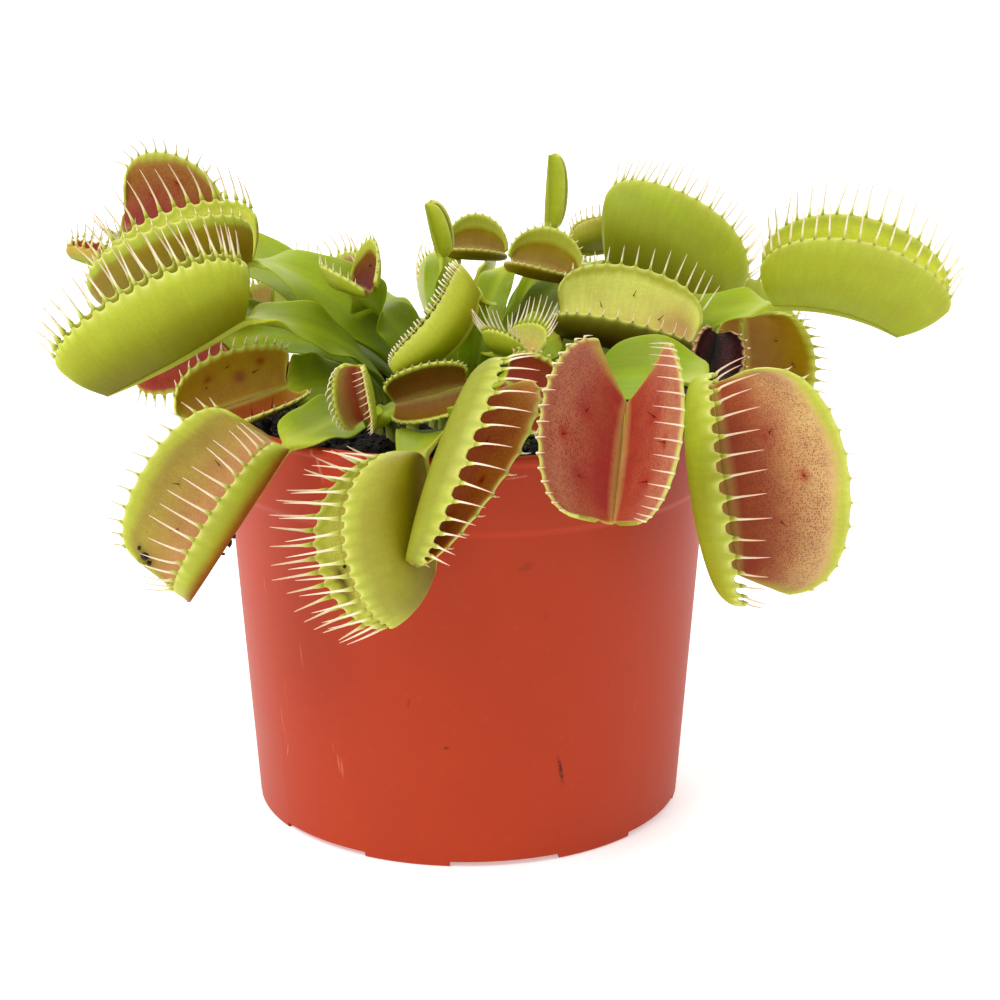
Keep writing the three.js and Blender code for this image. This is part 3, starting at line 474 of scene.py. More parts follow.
def stalk_sections(leaf, fr):
    """Every section's place, directions, half width, thickness, share of blade and run.

    The run goes from 0 at the soil to 1 at the trap and to 2 at its tip. The stalk starts below the
    soil, turns from level to the trap's own side, and goes on as the midrib under the trap.
    """
    t = np.linspace(0, 1, STALK_STATIONS)
    points, tangents = stalk_line(leaf, fr, t)
    ahead = unit((fr["base"] - points[0]) * (1, 1, 0))
    level = np.cross(ahead, (0, 0, 1.0))
    across = unit(level - tangents * (tangents @ level)[:, None])
    up = np.cross(across, tangents)
    lean = np.radians(leaf["roll"]) * -level[1]
    twist = np.arctan2(fr["side"] @ up[-1], fr["side"] @ across[-1])
    near = ease((t - 0.7) / 0.3)
    angle = (-lean * ease(t / 0.5) * (1 - near) + twist * near)[:, None]
    cos, sin = np.cos(angle), np.sin(angle)
    across, up = across * cos + up * sin, up * cos - across * sin
    swell = ease((t - 0.18) / 0.5) * (1 - ease((t - 0.9) / 0.09))
    half = STALK_NARROW + (leaf["blade"] / 2 - STALK_NARROW) * swell
    thick = STALK_THICK + 0.5 * (1 - swell)

    foot = np.repeat(points[:1], FOOT_STATIONS, 0)
    foot[:, 2] = np.linspace(SOIL_TOP - 6, SOIL_TOP + 0.4, FOOT_STATIONS)
    share = np.linspace(0.03, 1, RIB_STATIONS)
    rib = rib_points(leaf, fr, share) - fr["open"] * 0.15
    taper = 1 - 0.55 * share**2
    low, high = np.ones((FOOT_STATIONS, 1)), np.ones((RIB_STATIONS, 1))
    place = np.concatenate([foot, points, rib])
    across = np.concatenate([low * level, across, high * fr["side"]])
    up = np.concatenate([low * -ahead, up, high * fr["open"]])
    half = np.concatenate([low[:, 0] * STALK_NARROW, half, 0.85 * taper])
    thick = np.concatenate([low[:, 0] * 1.4, thick, 1.35 * taper])
    swell = np.concatenate([0 * low[:, 0], swell, 0 * high[:, 0]])
    run = np.concatenate([0 * low[:, 0], t, 1 + share])
    place[1:-1] = smooth_rows(place, 3)[1:-1]
    across, up = unit(smooth_rows(across, 5)), smooth_rows(up, 5)
    up = unit(up - across * np.sum(up * across, 1)[:, None])
    return place, across, up, half, thick, swell, run


def stalk_tint(leaf, x, offset, over, swell, run, rng):
    """Colour over the stalk: pale foot, green blade with a light vein and edges, the trap's rib."""
    vein = np.exp(-((offset / 0.7) ** 2)) * swell
    tint = blend(BLADE_LOW, BLADE_HIGH, ease(run - 0.1) + 0 * x)
    tint = tint * (0.92 + 0.12 * rng.random())
    tint = blend(tint, BLADE_VEIN, 0.5 * vein + 0.3 * swell * np.abs(x) ** 8)
    layers = (
        (BLADE_UNDER, np.where(over, 0, 0.4)),
        (STALK_FOOT, 0.8 * ease((0.22 - run) / 0.22)),
        (leaf["outside"], ease((run - 0.84) / 0.14)),
        (MIDRIB, 0.5 * ease((run - 1) / 0.1)),
        (DIRT, leaf["withered"]))
    for colour, share in layers:
        tint = blend(tint, colour, share + 0 * offset)
    return tint


def add_stalk(shape, leaf, fr, index, rng):
    """The stalk with its blade, and the midrib under the trap, as one loft.

    The section is a flattened oval: a half width that swells to the blade, edges lifted by a fold
    that grows with the distance from the middle, a keel below and a groove above. Waves along the
    edges are sines of the place along the stalk.
    """
    place, across, up, *rest = stalk_sections(leaf, fr)
    half, thick, swell, run = (values[:, None] for values in rest)
    turn = 2 * np.pi * (np.arange(STALK_SIDES) + 0.5) / STALK_SIDES
    x, s = np.cos(turn)[None], np.sin(turn)[None]
    x = np.sign(x) * np.abs(x) ** 0.9
    over = s > 0
    profile = np.sign(s) * np.abs(s) ** 0.5 * thick / 2 * (1 - 0.35 * x * x * swell)
    fold = 0.25 * half * swell * np.abs(x) ** 1.3
    wave = 0.14 * half * swell * np.sin(11 * run + index) * np.sign(x) * np.abs(x) ** 2
    phase = rng.uniform(0, 6.28, 2)
    ripple = 0.32 * swell * x * x * np.sin(31 * run + np.where(x > 0, phase[0], phase[1]))
    keel = np.where(over, -0.16, -0.55) * swell * np.exp(-((x * half / 0.75) ** 2))
    edge = 1 + 0.05 * swell * np.sin(9 * run + 4 * x + phase[0])
    rings = (place[:, None] + across[:, None] * (x * half * edge)[..., None]
             + up[:, None] * (profile + fold + wave + ripple + keel)[..., None])

    tint = stalk_tint(leaf, x, x * half, over, swell, run, rng)
    grain = np.stack([x * half, run * 30 + 0 * x, index + 0 * x * half], -1)
    end_grain = np.array([[0, 0, index], [0, 60, index]], float)
    shape.add(*skin(rings), np.concatenate([tint.reshape(-1, 3), tint[[0, -1], 0]]),
              np.concatenate([grain.reshape(-1, 3), end_grain]))


# ------------------------------------------------------------------ leaf: trap
def ends(value):
    """A value given for both ends or halves as it is, or one value for both."""
    return value if isinstance(value, tuple) else (value, value)


def of_half(value, half):
    """The value for one half."""
    return ends(value)[0 if half < 0 else 1]


def half_plane(leaf, fr, half):
    """One half's own directions: up its middle and out of its back."""
    angle = np.radians(of_half(leaf["open"], half))
    up = fr["open"] * np.cos(angle) + half * fr["side"] * np.sin(angle)
    out = half * fr["side"] * np.cos(angle) - fr["open"] * np.sin(angle)
    return up, out


def half_points(leaf, fr, half, across, rise, fine=True):
    """Points of one half of the trap.

    across runs from base to tip and rise from midrib to margin. The margin is part of an oval:
    its reach goes as the cosine of pi times across and its height as the sine to a power. The half
    is dished by a belly of sin(pi rise). Fine lowers rise in round bays between the teeth, turns
    the margin in by the hook and adds a slow unevenness.
    """
    up, out = half_plane(leaf, fr, half)
    turn = np.pi * across
    share = (1 - np.cos(turn)) / 2
    length, width = fr["length"], leaf["width"]
    if fine:
        toothed = (of_half(leaf["scallop"], half) * leaf["foot"] * (leaf["cilia"] != 0)
                   * ease(across / 0.07) * ease((1 - across) / 0.07))
        beat = 2 * np.pi * tooth_phase(leaf, half, across)
        bay = 1 - ((1 + np.cos(beat)) / 2) ** 3.2
        rise = rise * (1 - toothed * 0.66 / width * bay * ease((rise - 0.74) / 0.26))
    reach = length * (-leaf["shoulder"] + (1 + leaf["toe"] + leaf["shoulder"]) * share)
    swell = np.sin(np.clip(turn, 1e-6, np.pi - 1e-6)) ** of_half(leaf["round"], half)
    first, last = ends(leaf.get("corner_first", leaf["corner"]) if half < 0 else leaf["corner"])
    corner = first + (last - first) * share
    height = width * (corner + (1 - corner) * swell) * (1 - of_half(leaf["taper"], half) * share)
    belly = of_half(leaf["bulge"], half) * width * np.sin(np.pi * rise) * (0.45 + 0.55 * np.sin(turn))
    if fine:
        belly = belly + (0.03 * width - of_half(leaf["hook"], half)) * ease((rise - 0.78) / 0.26) ** 1.5
        seed = leaf["base"][0] * 0.7 + half
        belly = belly + 0.02 * width * np.sin(5.2 * across + seed) * np.sin(3.4 * rise + seed) * rise
        belly = belly + 0.05 * np.sin(13 * across + 2 * seed) * np.sin(9 * rise + seed) * rise
    x = length * share + (reach - length * share) * (1 - (1 - rise) ** 1.25)
    lift = leaf["arch"] * length * 4 * share * (1 - share)
    return (fr["base"] + fr["along"] * x[..., None] + up * (height * rise)[..., None]
            + fr["open"] * lift[..., None] + out * belly[..., None])


def tooth_phase(leaf, half, across):
    """A count along the margin that is a whole number at each tooth of this half."""
    return (across - TOOTH_START) / TOOTH_SPAN * of_half(leaf["cilia"], half) - 0.5 + half * 0.25


def spotted(tint, leaf, place, spot, radius, colour, strength=1.0):
    """A tint with one soft round spot: the share falls as exp(-d squared), d in radii over the half."""
    along = (place[0] - spot[0]) * leaf["length"] * 1.2
    high = (place[1] - spot[1]) * leaf["width"]
    return blend(tint, colour, strength * np.exp(-(along**2 + high**2) / radius**2))


def rim_colour(leaf):
    """The colour along the margin: the outside's, three quarters of the way to the edge's own."""
    return blend(leaf["outside"], leaf["edge"] or BUTTER, 0.75)


def trap_tint(leaf, half, across, rise, inner):
    """Colour over one face of a half: the outside or inside colour, a green rim, an olive midrib; outside,
    a darker low colour near the midrib, partly the leaf's own and partly painted shade.
    """
    rim, outside = rim_colour(leaf), leaf["outside"]
    # The dull half keeps most of the low colour, with its painted shade, over its rim and outside.
    if half == leaf["dull"]:
        rim, outside = blend(rim, leaf["low"], 0.6), blend(outside, leaf["low"], 0.85)
    if inner:
        pale = leaf.get("pale", blend(leaf["inside"], PALE_FLESH, 0.35))
        body = blend(leaf["inside"], pale, ease((rise - 0.1) / 0.7))
        edge = leaf["rim"] + 0.02 * np.sin(17 * across)
        for side, a, v, radius, colour in leaf["blots"]:
            if side == half:
                body = spotted(body, leaf, (across, rise), (a, v), radius, colour)
        if leaf["stipple"] >= 0.7 and leaf["width"] > SMALL_TRAP:
            for hair in HAIRS:
                body = spotted(body, leaf, (across, rise), hair, 0.7, FLUSH, 0.75 * leaf["stipple"])
        tint = blend(body, rim, ease((rise - edge) / 0.12))
        tint = blend(tint, INNER_RIB, 0.85 * (1 - ease((rise - 0.02) / 0.1)))
        tint = blend(tint, rim, 0.6 * ease((np.abs(2 * across - 1) - 0.8) / 0.2))
        tint = blend(tint, PALE_EDGE, 0.6 * ease((rise - 0.95) / 0.04))
        return blend(tint, CHAR, leaf["withered"] * (1 - ease((rise - 0.85) / 0.15)))
    # Outside: the low colour near the midrib, partly the leaf's own olive or brown and partly painted shade
    # on the lower face, turns into the outside colour between the two shares of shade.
    dark, light = leaf["shade"]
    tint = blend(leaf["low"], outside, ease((rise - dark) / (light - dark)))
    tint = blend(tint, rim, ease((rise - 0.8) / 0.2))
    tint = blend(tint, PALE_EDGE, 0.6 * ease((rise - 0.96) / 0.03))
    return blend(tint, WARM_BACK, leaf["warm"] * ease(rise))


def add_half(shape, leaf, fr, half):
    """One half as a closed shell: a surface, and its twin offset along the normal, thin at the rim."""
    small = leaf["width"] < SMALL_TRAP
    across = np.linspace(0, 1, max((6 if small else 8) * of_half(leaf["cilia"], half), 44))
    rise = np.array([0, 0.06, 0.12, 0.2, 0.29, 0.38, 0.47, 0.56, 0.64, 0.71, 0.77, 0.82, 0.87, 0.91,
                     0.94, 0.97, 0.99, 1])
    if small:
        rise = rise[[0, 1, 3, 5, 7, 9, 11, 13, 15, 17]]
    a, v = np.meshgrid(across, rise, indexing="ij")
    middle = half_points(leaf, fr, half, a, v)
    _, out = half_plane(leaf, fr, half)
    normal = unit(np.cross(np.gradient(middle, axis=0), np.gradient(middle, axis=1)))
    normal *= np.where((normal @ out) < 0, -1, 1)[..., None]
    normal = unit(normal + 0.4 * out)
    rounded = np.interp(rise, [0.93, 0.97, 0.99, 1], [1, 0.86, 0.62, 0.25])
    offset = normal * (TRAP_THICK * (1 - 0.3 * rise) * rounded)[None, :, None] / 2
    points = np.stack([middle + offset, middle - offset])
    tint = np.stack([trap_tint(leaf, half, a, v, inner) for inner in (False, True)])
    arc = np.stack([(a - 0.5) * fr["length"] * 1.3, v * leaf["width"], 0 * a + 10 * half], -1)
    spots = leaf["stipple"] * ease((v - 0.06) / 0.1) * (1 - ease((v - leaf["rim"] + 0.06) / 0.12))
    spots = spots * (1 - 0.7 * ease((np.abs(2 * a - 1) - 0.8) / 0.2))
    shape.add(points, shell_faces(len(across), len(rise)), tint.reshape(-1, 3),
              np.stack([arc, arc + (40, 0, 0)]), np.concatenate([0 * spots.ravel(), spots.ravel()]))


def add_teeth(shape, leaf, fr, half, rng):
    """The teeth of one half.

    Each starts inside the margin, leaves it leaning towards the other half, curls a little more
    that way, and thins from a broad flat foot to a needle. Angle and length vary a little.
    """
    count = of_half(leaf["cilia"], half)
    if count == 0:
        return
    up, out = half_plane(leaf, fr, half)
    a = TOOTH_START + TOOTH_SPAN * (np.arange(count) + 0.5 - half * 0.25) / count
    root = half_points(leaf, fr, half, a, np.ones(count))
    below = half_points(leaf, fr, half, a, np.full(count, 0.94))
    step = half_points(leaf, fr, half, a + 1e-3, np.ones(count), False)
    step = unit(step - half_points(leaf, fr, half, a - 1e-3, np.ones(count), False))
    away = unit(np.cross(step, out))
    away *= np.where(np.sum(away * (root - below), 1) < 0, -1, 1)[:, None]
    away = unit(away * leaf["fan"] + up * (1 - leaf["fan"]))
    sideways = unit(step - away * np.sum(step * away, 1)[:, None])
    away = unit(away + sideways * rng.normal(0, 0.07, (count, 1)))
    tooth = of_half(leaf["tooth"], half)
    length = tooth * (0.62 + 0.38 * np.sin(np.pi * a)) * rng.uniform(0.92, 1.08, count)
    length = length * (leaf["swing"][0] * (1 - a) + leaf["swing"][1] * a)
    s = TOOTH_STATIONS[None, :, None]
    lean = np.radians(of_half(leaf["lean"], half) + leaf["curl"] * 0.2)
    lean = lean + rng.normal(0, 0.07, (count, 1, 1))
    angle = lean * np.minimum(1, 0.35 + 1.8 * s) + np.radians(leaf["curl"]) * 1.4 * (s - 0.4)
    heading = away[:, None] * np.cos(angle) - out * np.sin(angle)
    walk = np.cumsum(heading[:, 1:] * np.diff(s, axis=1), 1)
    walk = np.concatenate([np.zeros((count, 1, 3)), walk], 1)
    path = root[:, None] + walk * length[:, None, None]
    path[:, 0] = root * 0.5 + below * 0.5
    across = unit(sideways[:, None] - heading * np.sum(sideways[:, None] * heading, -1, keepdims=True))
    over = np.cross(across, heading)
    s = TOOTH_STATIONS
    size = (0.5 + 0.5 * np.clip(tooth / 7, 0, 1)) * np.ones((count, 1))
    flare = 0.2 * leaf["foot"] * np.maximum(1 - 6 * s, 0) ** 1.5
    half_width = size * (flare + 0.18 * (1 - s) ** 0.7 + 0.03)
    half_thick = size * (0.1 * np.maximum(1 - 5 * s, 0) + 0.17 * (1 - s) ** 0.7 + 0.03)
    points, faces = spikes(path, across, over, half_width, half_thick, TOOTH_SIDES)
    tint = blend(rim_colour(leaf), IVORY, ease(s / 0.22))
    tint = blend(tint, BLUSH, ease((s - 0.2) / 0.7) * (0.15 + 0.7 * leaf["stipple"]))
    tooth_tint = np.concatenate([np.repeat(tint, TOOTH_SIDES, 0), tint[[0, -1]]])
    shape.add(points, faces, np.tile(tooth_tint, (count, 1)))


def add_trigger_hairs(shape, leaf, fr, half):
    """Three fine dark hairs on the inside of a larger half, in a triangle, thinning upwards."""
    if leaf["cilia"] == 0 or leaf["width"] < SMALLEST_WITH_HAIRS:
        return
    foot = half_points(leaf, fr, half, HAIRS[:, 0], HAIRS[:, 1])
    up, out = half_plane(leaf, fr, half)
    s = np.linspace(0, 1, HAIR_STATIONS)[None, :, None]
    heading = unit(-out + 0.35 * up + 0.25 * fr["along"] * np.array([[-1], [1], [0.3]]))
    path = foot[:, None] + heading[:, None] * (0.2 + 2.7 * s) + up * 0.25 * s * s
    across = np.broadcast_to(unit(np.cross(heading, up))[:, None], path.shape)
    over = np.broadcast_to(unit(np.cross(across[:, 0], heading))[:, None], path.shape)
    half_size = (0.09 * (1 - s[..., 0]) + 0.03) * np.ones((len(HAIRS), 1))
    shape.add(*spikes(path, across, over, half_size, half_size, HAIR_SIDES), HAIR_RED)


def add_stuck_peat(shape, leaf, fr, crumbs, rng):
    """Dented icosahedra of peat on a half, at its surface plus a stand-off along its outward side."""
    corners, faces = unit_crumb()
    for half, along, rise, size, away in crumbs:
        foot = half_points(leaf, fr, half, np.array([along]), np.array([rise]))
        dents = rng.uniform(0.7, 1.15, (len(corners), 1)) * rng.uniform(0.6, 1.2, 3)
        shape.add(foot + half_plane(leaf, fr, half)[1] * away + corners * dents * size, faces, DIRT)


def build_leaf(name, index):
    """One leaf: stalk, midrib, two halves, their teeth and hairs."""
    leaf = {**USUAL, **LEAVES[name]}
    rng = np.random.default_rng(100 + index)
    fr = trap_frame(leaf)
    leaf.update(length=fr["length"], blots=BLOTS.get(name, []))
    shape = Shape()
    add_stalk(shape, leaf, fr, index, rng)
    for half in (-1, 1):
        add_half(shape, leaf, fr, half)
        add_teeth(shape, leaf, fr, half, rng)
        add_trigger_hairs(shape, leaf, fr, half)
    add_stuck_peat(shape, leaf, fr, STUCK.get(name, []), rng)
    return shape.build(name + "_fine")


# ------------------------------------------------------------------ pot
POT = dict(height=69.5, base=36.4, band_height=57, band=40.4, step=0.6, rim=42.1, lip=0.5,
           lip_height=1.6, wall=1.2, floor=2)
POT_SEGMENTS = 192
DRAIN = dict(count=6, radius=3, ring=24, sides=40)
NOTCH = dict(count=7, width=18, depth=3.4, height=0.9, first=-79.7)


def pot_inner_radius(z):
    """The pot's inner radius at a height: the outer cone or band less the wall."""
    z = np.asarray(z, float)
    cone = POT["base"] + (POT["band"] - POT["base"]) * z / POT["band_height"]
    share = (z - POT["band_height"]) / (POT["height"] - POT["band_height"])
    band = POT["band"] + POT["step"] + (POT["rim"] - POT["band"] - POT["step"]) * share
    return np.where(z <= POT["band_height"], cone, band) - POT["wall"]


def rounded_profile(corners, radius, steps=4):
    """A path through corner points with each corner cut by a short curve of the given radius."""
    corners = np.asarray(corners, float)
    path = [corners[:1]]
    for before, corner, after in zip(corners[:-2], corners[1:-1], corners[2:]):
        shorter = min(np.linalg.norm(before - corner), np.linalg.norm(after - corner))
        reach = min(radius, 0.45 * shorter)
        first = corner + unit(before - corner) * reach
        last = corner + unit(after - corner) * reach
        u = np.linspace(0, 1, steps + 1)[:, None]
        path.append((1 - u) ** 2 * first + 2 * u * (1 - u) * corner + u * u * last)
    path.append(corners[-1:])
    return np.concatenate(path)


def turned_skin(profile, segments):
    """A profile of radius and height turned about the axis; its first and last points close it."""
    turn = 2 * np.pi * np.arange(segments) / segments
    r, z = profile[1:-1, :1], profile[1:-1, 1:]
    rings = np.stack([r * np.cos(turn), r * np.sin(turn), z * np.ones(segments)], -1)
    poles = np.array([[0, 0, profile[0, 1]], [0, 0, profile[-1, 1]]])
    return np.concatenate([rings.reshape(-1, 3), poles]), loft_faces(len(rings), segments)


def upright_prism(outline, low, high):
    """A closed upright prism over a flat outline of points."""
    outline = np.asarray(outline, float)
    rings = np.stack([np.column_stack([outline, np.full(len(outline), z)]) for z in (low, high)])
    return skin(rings)


def pot_profile():
    """The pot's section from the middle of its underside up, over the rim and down inside."""
    p, z_band, top = POT, POT["band_height"], POT["height"]
    inside = [(top, top), (z_band + 0.01, z_band + 0.6), (z_band, z_band - 0.6), (p["floor"], p["floor"])]
    return rounded_profile([
        (0, 0), (p["base"], 0), (p["band"] - 0.1, z_band - 0.5), (p["band"] + p["step"], z_band + 0.3),
        (p["rim"], top - p["lip_height"]), (p["rim"] + p["lip"], top - p["lip_height"] + 0.5),
        (p["rim"] + p["lip"], top), *((float(pot_inner_radius(at)), z) for at, z in inside),
        (0, p["floor"])], 0.5)


def pot_cutters():
    """Upright prisms for the drain holes in a ring and for the foot notches around the base."""
    cutters = Shape()
    turn = 2 * np.pi * np.arange(DRAIN["sides"]) / DRAIN["sides"]
    for i in range(DRAIN["count"]):
        angle = 2 * np.pi * i / DRAIN["count"]
        centre = DRAIN["ring"] * np.array([np.cos(angle), np.sin(angle)])
        hole = centre + DRAIN["radius"] * np.column_stack([np.cos(turn), np.sin(turn)])
        cutters.add(*upright_prism(hole, -1, POT["floor"] + 1), CLAY)
    for i in range(NOTCH["count"]):
        angle = np.radians(NOTCH["first"] + 360 * i / NOTCH["count"])
        out = np.array([np.cos(angle), np.sin(angle)])
        along = np.array([-out[1], out[0]])
        box = [out * (POT["base"] + a * NOTCH["depth"]) + along * b * NOTCH["width"] / 2
               for a, b in [(-1, -1), (1, -1), (1, 1), (-1, 1)]]
        cutters.add(*upright_prism(box, -1, NOTCH["height"]), CLAY)
    return cutters.build("pot_cutters")


def build_pot():
    """The pot: a turned wall with rounded corners, drain holes and foot notches cut through it."""
    shape = Shape()
    shape.add(*turned_skin(pot_profile(), POT_SEGMENTS), CLAY)
    pot = shape.build("pot_fine")
    cutter = pot_cutters()
    cut = pot.modifiers.new("holes", "BOOLEAN")
    cut.object, cut.operation, cut.solver = cutter, "DIFFERENCE", "EXACT"
    bpy.context.view_layer.update()
    depsgraph = bpy.context.evaluated_depsgraph_get()
    mesh = bpy.data.meshes.new_from_object(pot.evaluated_get(depsgraph))
    pot.modifiers.clear()
    pot.data = mesh
    bpy.data.objects.remove(cutter)
    mesh.polygons.foreach_set("use_smooth", np.ones(len(mesh.polygons), bool))
    mesh.set_sharp_from_angle(angle=np.radians(32))
    return pot


# ------------------------------------------------------------------ soil
SOIL_SEGMENTS, SOIL_GAP = 220, 0.35
FIBRES, FIBRE_STATIONS, FIBRE_SIDES = 260, 7, 4
# Dead leaf ends: where each starts on the peat, and its compass angle.
DEAD_LEAVES = [
    (34, 8, 40), (38, -8, 95), (31, 15, 20), (-6, -35, 200), (-30, -20, 150), (-2, -32, 330),
    (26, -24, 300), (36, 2, 120), (-34, 6, 170), (2, 34, 70), (-24, 26, 130),
]


def peat_height(x, y):
    """The peat's surface: the level, slow rises near the wall, and a sum of seeded sines."""
    rng = np.random.default_rng(7)
    distance = np.hypot(x, y)
    z = SOIL_TOP + 0.9 * np.sin(0.43 * x + 1.2) * np.cos(0.37 * y - 0.6) * ease((distance - 16) / 8)
    for _ in range(26):
        wave = 2 * np.pi / rng.uniform(1.6, 11)
        heading, phase = rng.uniform(0, 2 * np.pi, 2)
        way = x * np.cos(heading) + y * np.sin(heading)
        z = z + 0.34 / wave**0.5 * 0.45 * np.sin(wave * way + phase)
    return z - 0.35 * ease((distance - 37) / 3)


def add_ground(shape):
    """The soil's body: its side follows the pot's inside, and its top is the peat's surface."""
    z = np.array([POT["floor"] + SOIL_GAP, 20, 40, 56, 58, 63])
    wall = np.stack([pot_inner_radius(z) - SOIL_GAP, z], -1)
    wall[0, 0] -= 1.2
    turn = 2 * np.pi * np.arange(SOIL_SEGMENTS) / SOIL_SEGMENTS
    rings = [np.stack([r * np.cos(turn), r * np.sin(turn), h + 0 * turn], -1) for r, h in wall]
    edge = float(pot_inner_radius(64)) - SOIL_GAP
    for r in edge * np.sin(np.linspace(np.pi / 2, 0.01, 90)) ** 0.9:
        x, y = r * np.cos(turn), r * np.sin(turn)
        rings.append(np.stack([x, y, peat_height(x, y)], -1))
    shape.add(*skin(np.stack(rings)), PEAT)


def unit_crumb():
    """The twelve corners and twenty faces of a regular icosahedron."""
    g = (1 + 5**0.5) / 2
    corners = np.array([(s, t * g) for s in (-1, 1) for t in (-1, 1)])
    flat = np.column_stack([np.zeros(4), corners])
    points = unit(np.concatenate([np.roll(flat, shift, 1) for shift in (0, -1, 1)]))
    gaps = np.linalg.norm(points[:, None] - points[None], axis=-1)
    near = (gaps > 0.1) & (gaps < 1.2)
    faces = [(i, j, k) for i in range(12) for j in range(i + 1, 12) for k in range(j + 1, 12)
             if near[i, j] and near[j, k] and near[i, k]]
    faces = np.array(faces)
    a, b, c = points[faces[:, 0]], points[faces[:, 1]], points[faces[:, 2]]
    inward = np.sum(np.cross(b - a, c - a) * a, 1) < 0
    faces[inward] = faces[inward][:, ::-1]
    return points, faces


def add_crumbs(shape, count, rng):
    """Peat crumbs: stretched, dented icosahedra of many sizes half sunk in the surface."""
    corners, faces = unit_crumb()
    radius = 39.5 * np.sqrt(rng.random(count))
    angle = rng.uniform(0, 2 * np.pi, count)
    x, y = radius * np.cos(angle), radius * np.sin(angle)
    size = np.clip(rng.lognormal(-0.75, 0.5, count), 0.16, 1.5)
    stretch = rng.uniform(0.6, 1.3, (count, 1, 3)) * (1, 1, 0.75)
    dents = rng.uniform(0.75, 1.15, (count, 12, 1))
    spin = rng.uniform(0, 2 * np.pi, count)
    points = corners[None] * dents * stretch * size[:, None, None]
    px, py, pz = np.moveaxis(points, -1, 0)
    cos, sin = np.cos(spin)[:, None], np.sin(spin)[:, None]
    turned = np.stack([px * cos - py * sin, px * sin + py * cos, pz], -1)
    place = np.stack([x, y, peat_height(x, y) + 0.25 * size], -1)
    points = (turned + place[:, None]).reshape(-1, 3)
    faces = (faces[None] + 12 * np.arange(count)[:, None, None]).reshape(-1, 3)
    tone = np.repeat(rng.random(count) ** 3, 12)
    shape.add(points, faces, blend(CRUMB_DARK, CRUMB_PALE, tone))


def add_fibres(shape, rng):
    """Root fibres: thin threads bent by a sum of small turns, that lie over the peat."""
    count, stations = FIBRES, FIBRE_STATIONS
    radius, angle = 38 * np.sqrt(rng.random(count)), rng.uniform(0, 2 * np.pi, count)
    heading = rng.uniform(0, 2 * np.pi, (count, 1)) + np.cumsum(rng.normal(0, 0.3, (count, stations)), 1)
    step = rng.uniform(0.4, 1.3, (count, 1))
    x = (radius * np.cos(angle))[:, None] + np.cumsum(step * np.cos(heading), 1)
    y = (radius * np.sin(angle))[:, None] + np.cumsum(step * np.sin(heading), 1)
    keep = np.hypot(x, y).max(1) < 39
    x, y, heading = x[keep], y[keep], heading[keep]
    lift = rng.uniform(0.2, 1.0, (len(x), 1)) * np.sin(np.linspace(0.2, 2.9, stations))[None]
    path = np.stack([x, y, peat_height(x, y) + 0.15 + lift], -1)
    across = np.stack([-np.sin(heading), np.cos(heading), 0 * heading], -1)
    over = np.zeros_like(across) + (0, 0, 1)
    thick = rng.uniform(0.05, 0.14, (len(x), 1)) * np.ones((1, stations))
    shape.add(*spikes(path, across, over, thick, thick, FIBRE_SIDES), FIBRE)


def add_dead_leaves(shape, rng):
    """Shrivelled leaf ends: narrow strips that arch over the peat as a sine, with curled edges."""
    t, x = np.linspace(0, 1, 26), np.linspace(-1, 1, 9)
    for px, py, angle in DEAD_LEAVES:
        length, width, rise = rng.uniform(7, 13), rng.uniform(0.8, 1.9), rng.uniform(1, 5)
        angle = np.radians(angle) + 0.8 * t * rng.uniform(-1, 1)
        along = np.stack([np.cos(angle), np.sin(angle), 0 * t], -1)
        line = np.cumsum(along, 0) * length / len(t) + (px, py, 0)
        reach = np.hypot(line[:, 0], line[:, 1])
        line[:, :2] *= np.minimum(1, 38.5 / reach)[:, None]
        line[:, 2] = peat_height(line[:, 0], line[:, 1]) + 0.3 + rise * np.sin(np.pi * t) ** 1.5
        side = np.stack([-along[:, 1], along[:, 0], 0 * t], -1)
        half = width * np.sin(np.pi * (0.06 + 0.9 * t)) ** 0.6
        curl = half[:, None] * (0.5 * x**2 + 0.25 * np.sin(19 * t[:, None] + 3 * x + px))
        sheet = line[:, None] + side[:, None] * (half[:, None] * x)[..., None]
        sheet = sheet + np.array([0, 0, 1.0]) * curl[..., None]
        thick = np.array([0, 0, 0.22])
        points = np.stack([sheet + thick, sheet - thick])
        shape.add(points, shell_faces(len(t), len(x)), DEAD_LEAF)


def build_soil(crumbs):
    """The soil: peat body, crumbs, fibres and dead leaf ends in one piece."""
    rng = np.random.default_rng(21)
    shape = Shape()
    add_ground(shape)
    add_crumbs(shape, crumbs, rng)
    add_fibres(shape, rng)
    add_dead_leaves(shape, rng)
    soil = shape.build("soil_fine")
    soil.data.set_sharp_from_angle(angle=np.radians(50))
    return soil


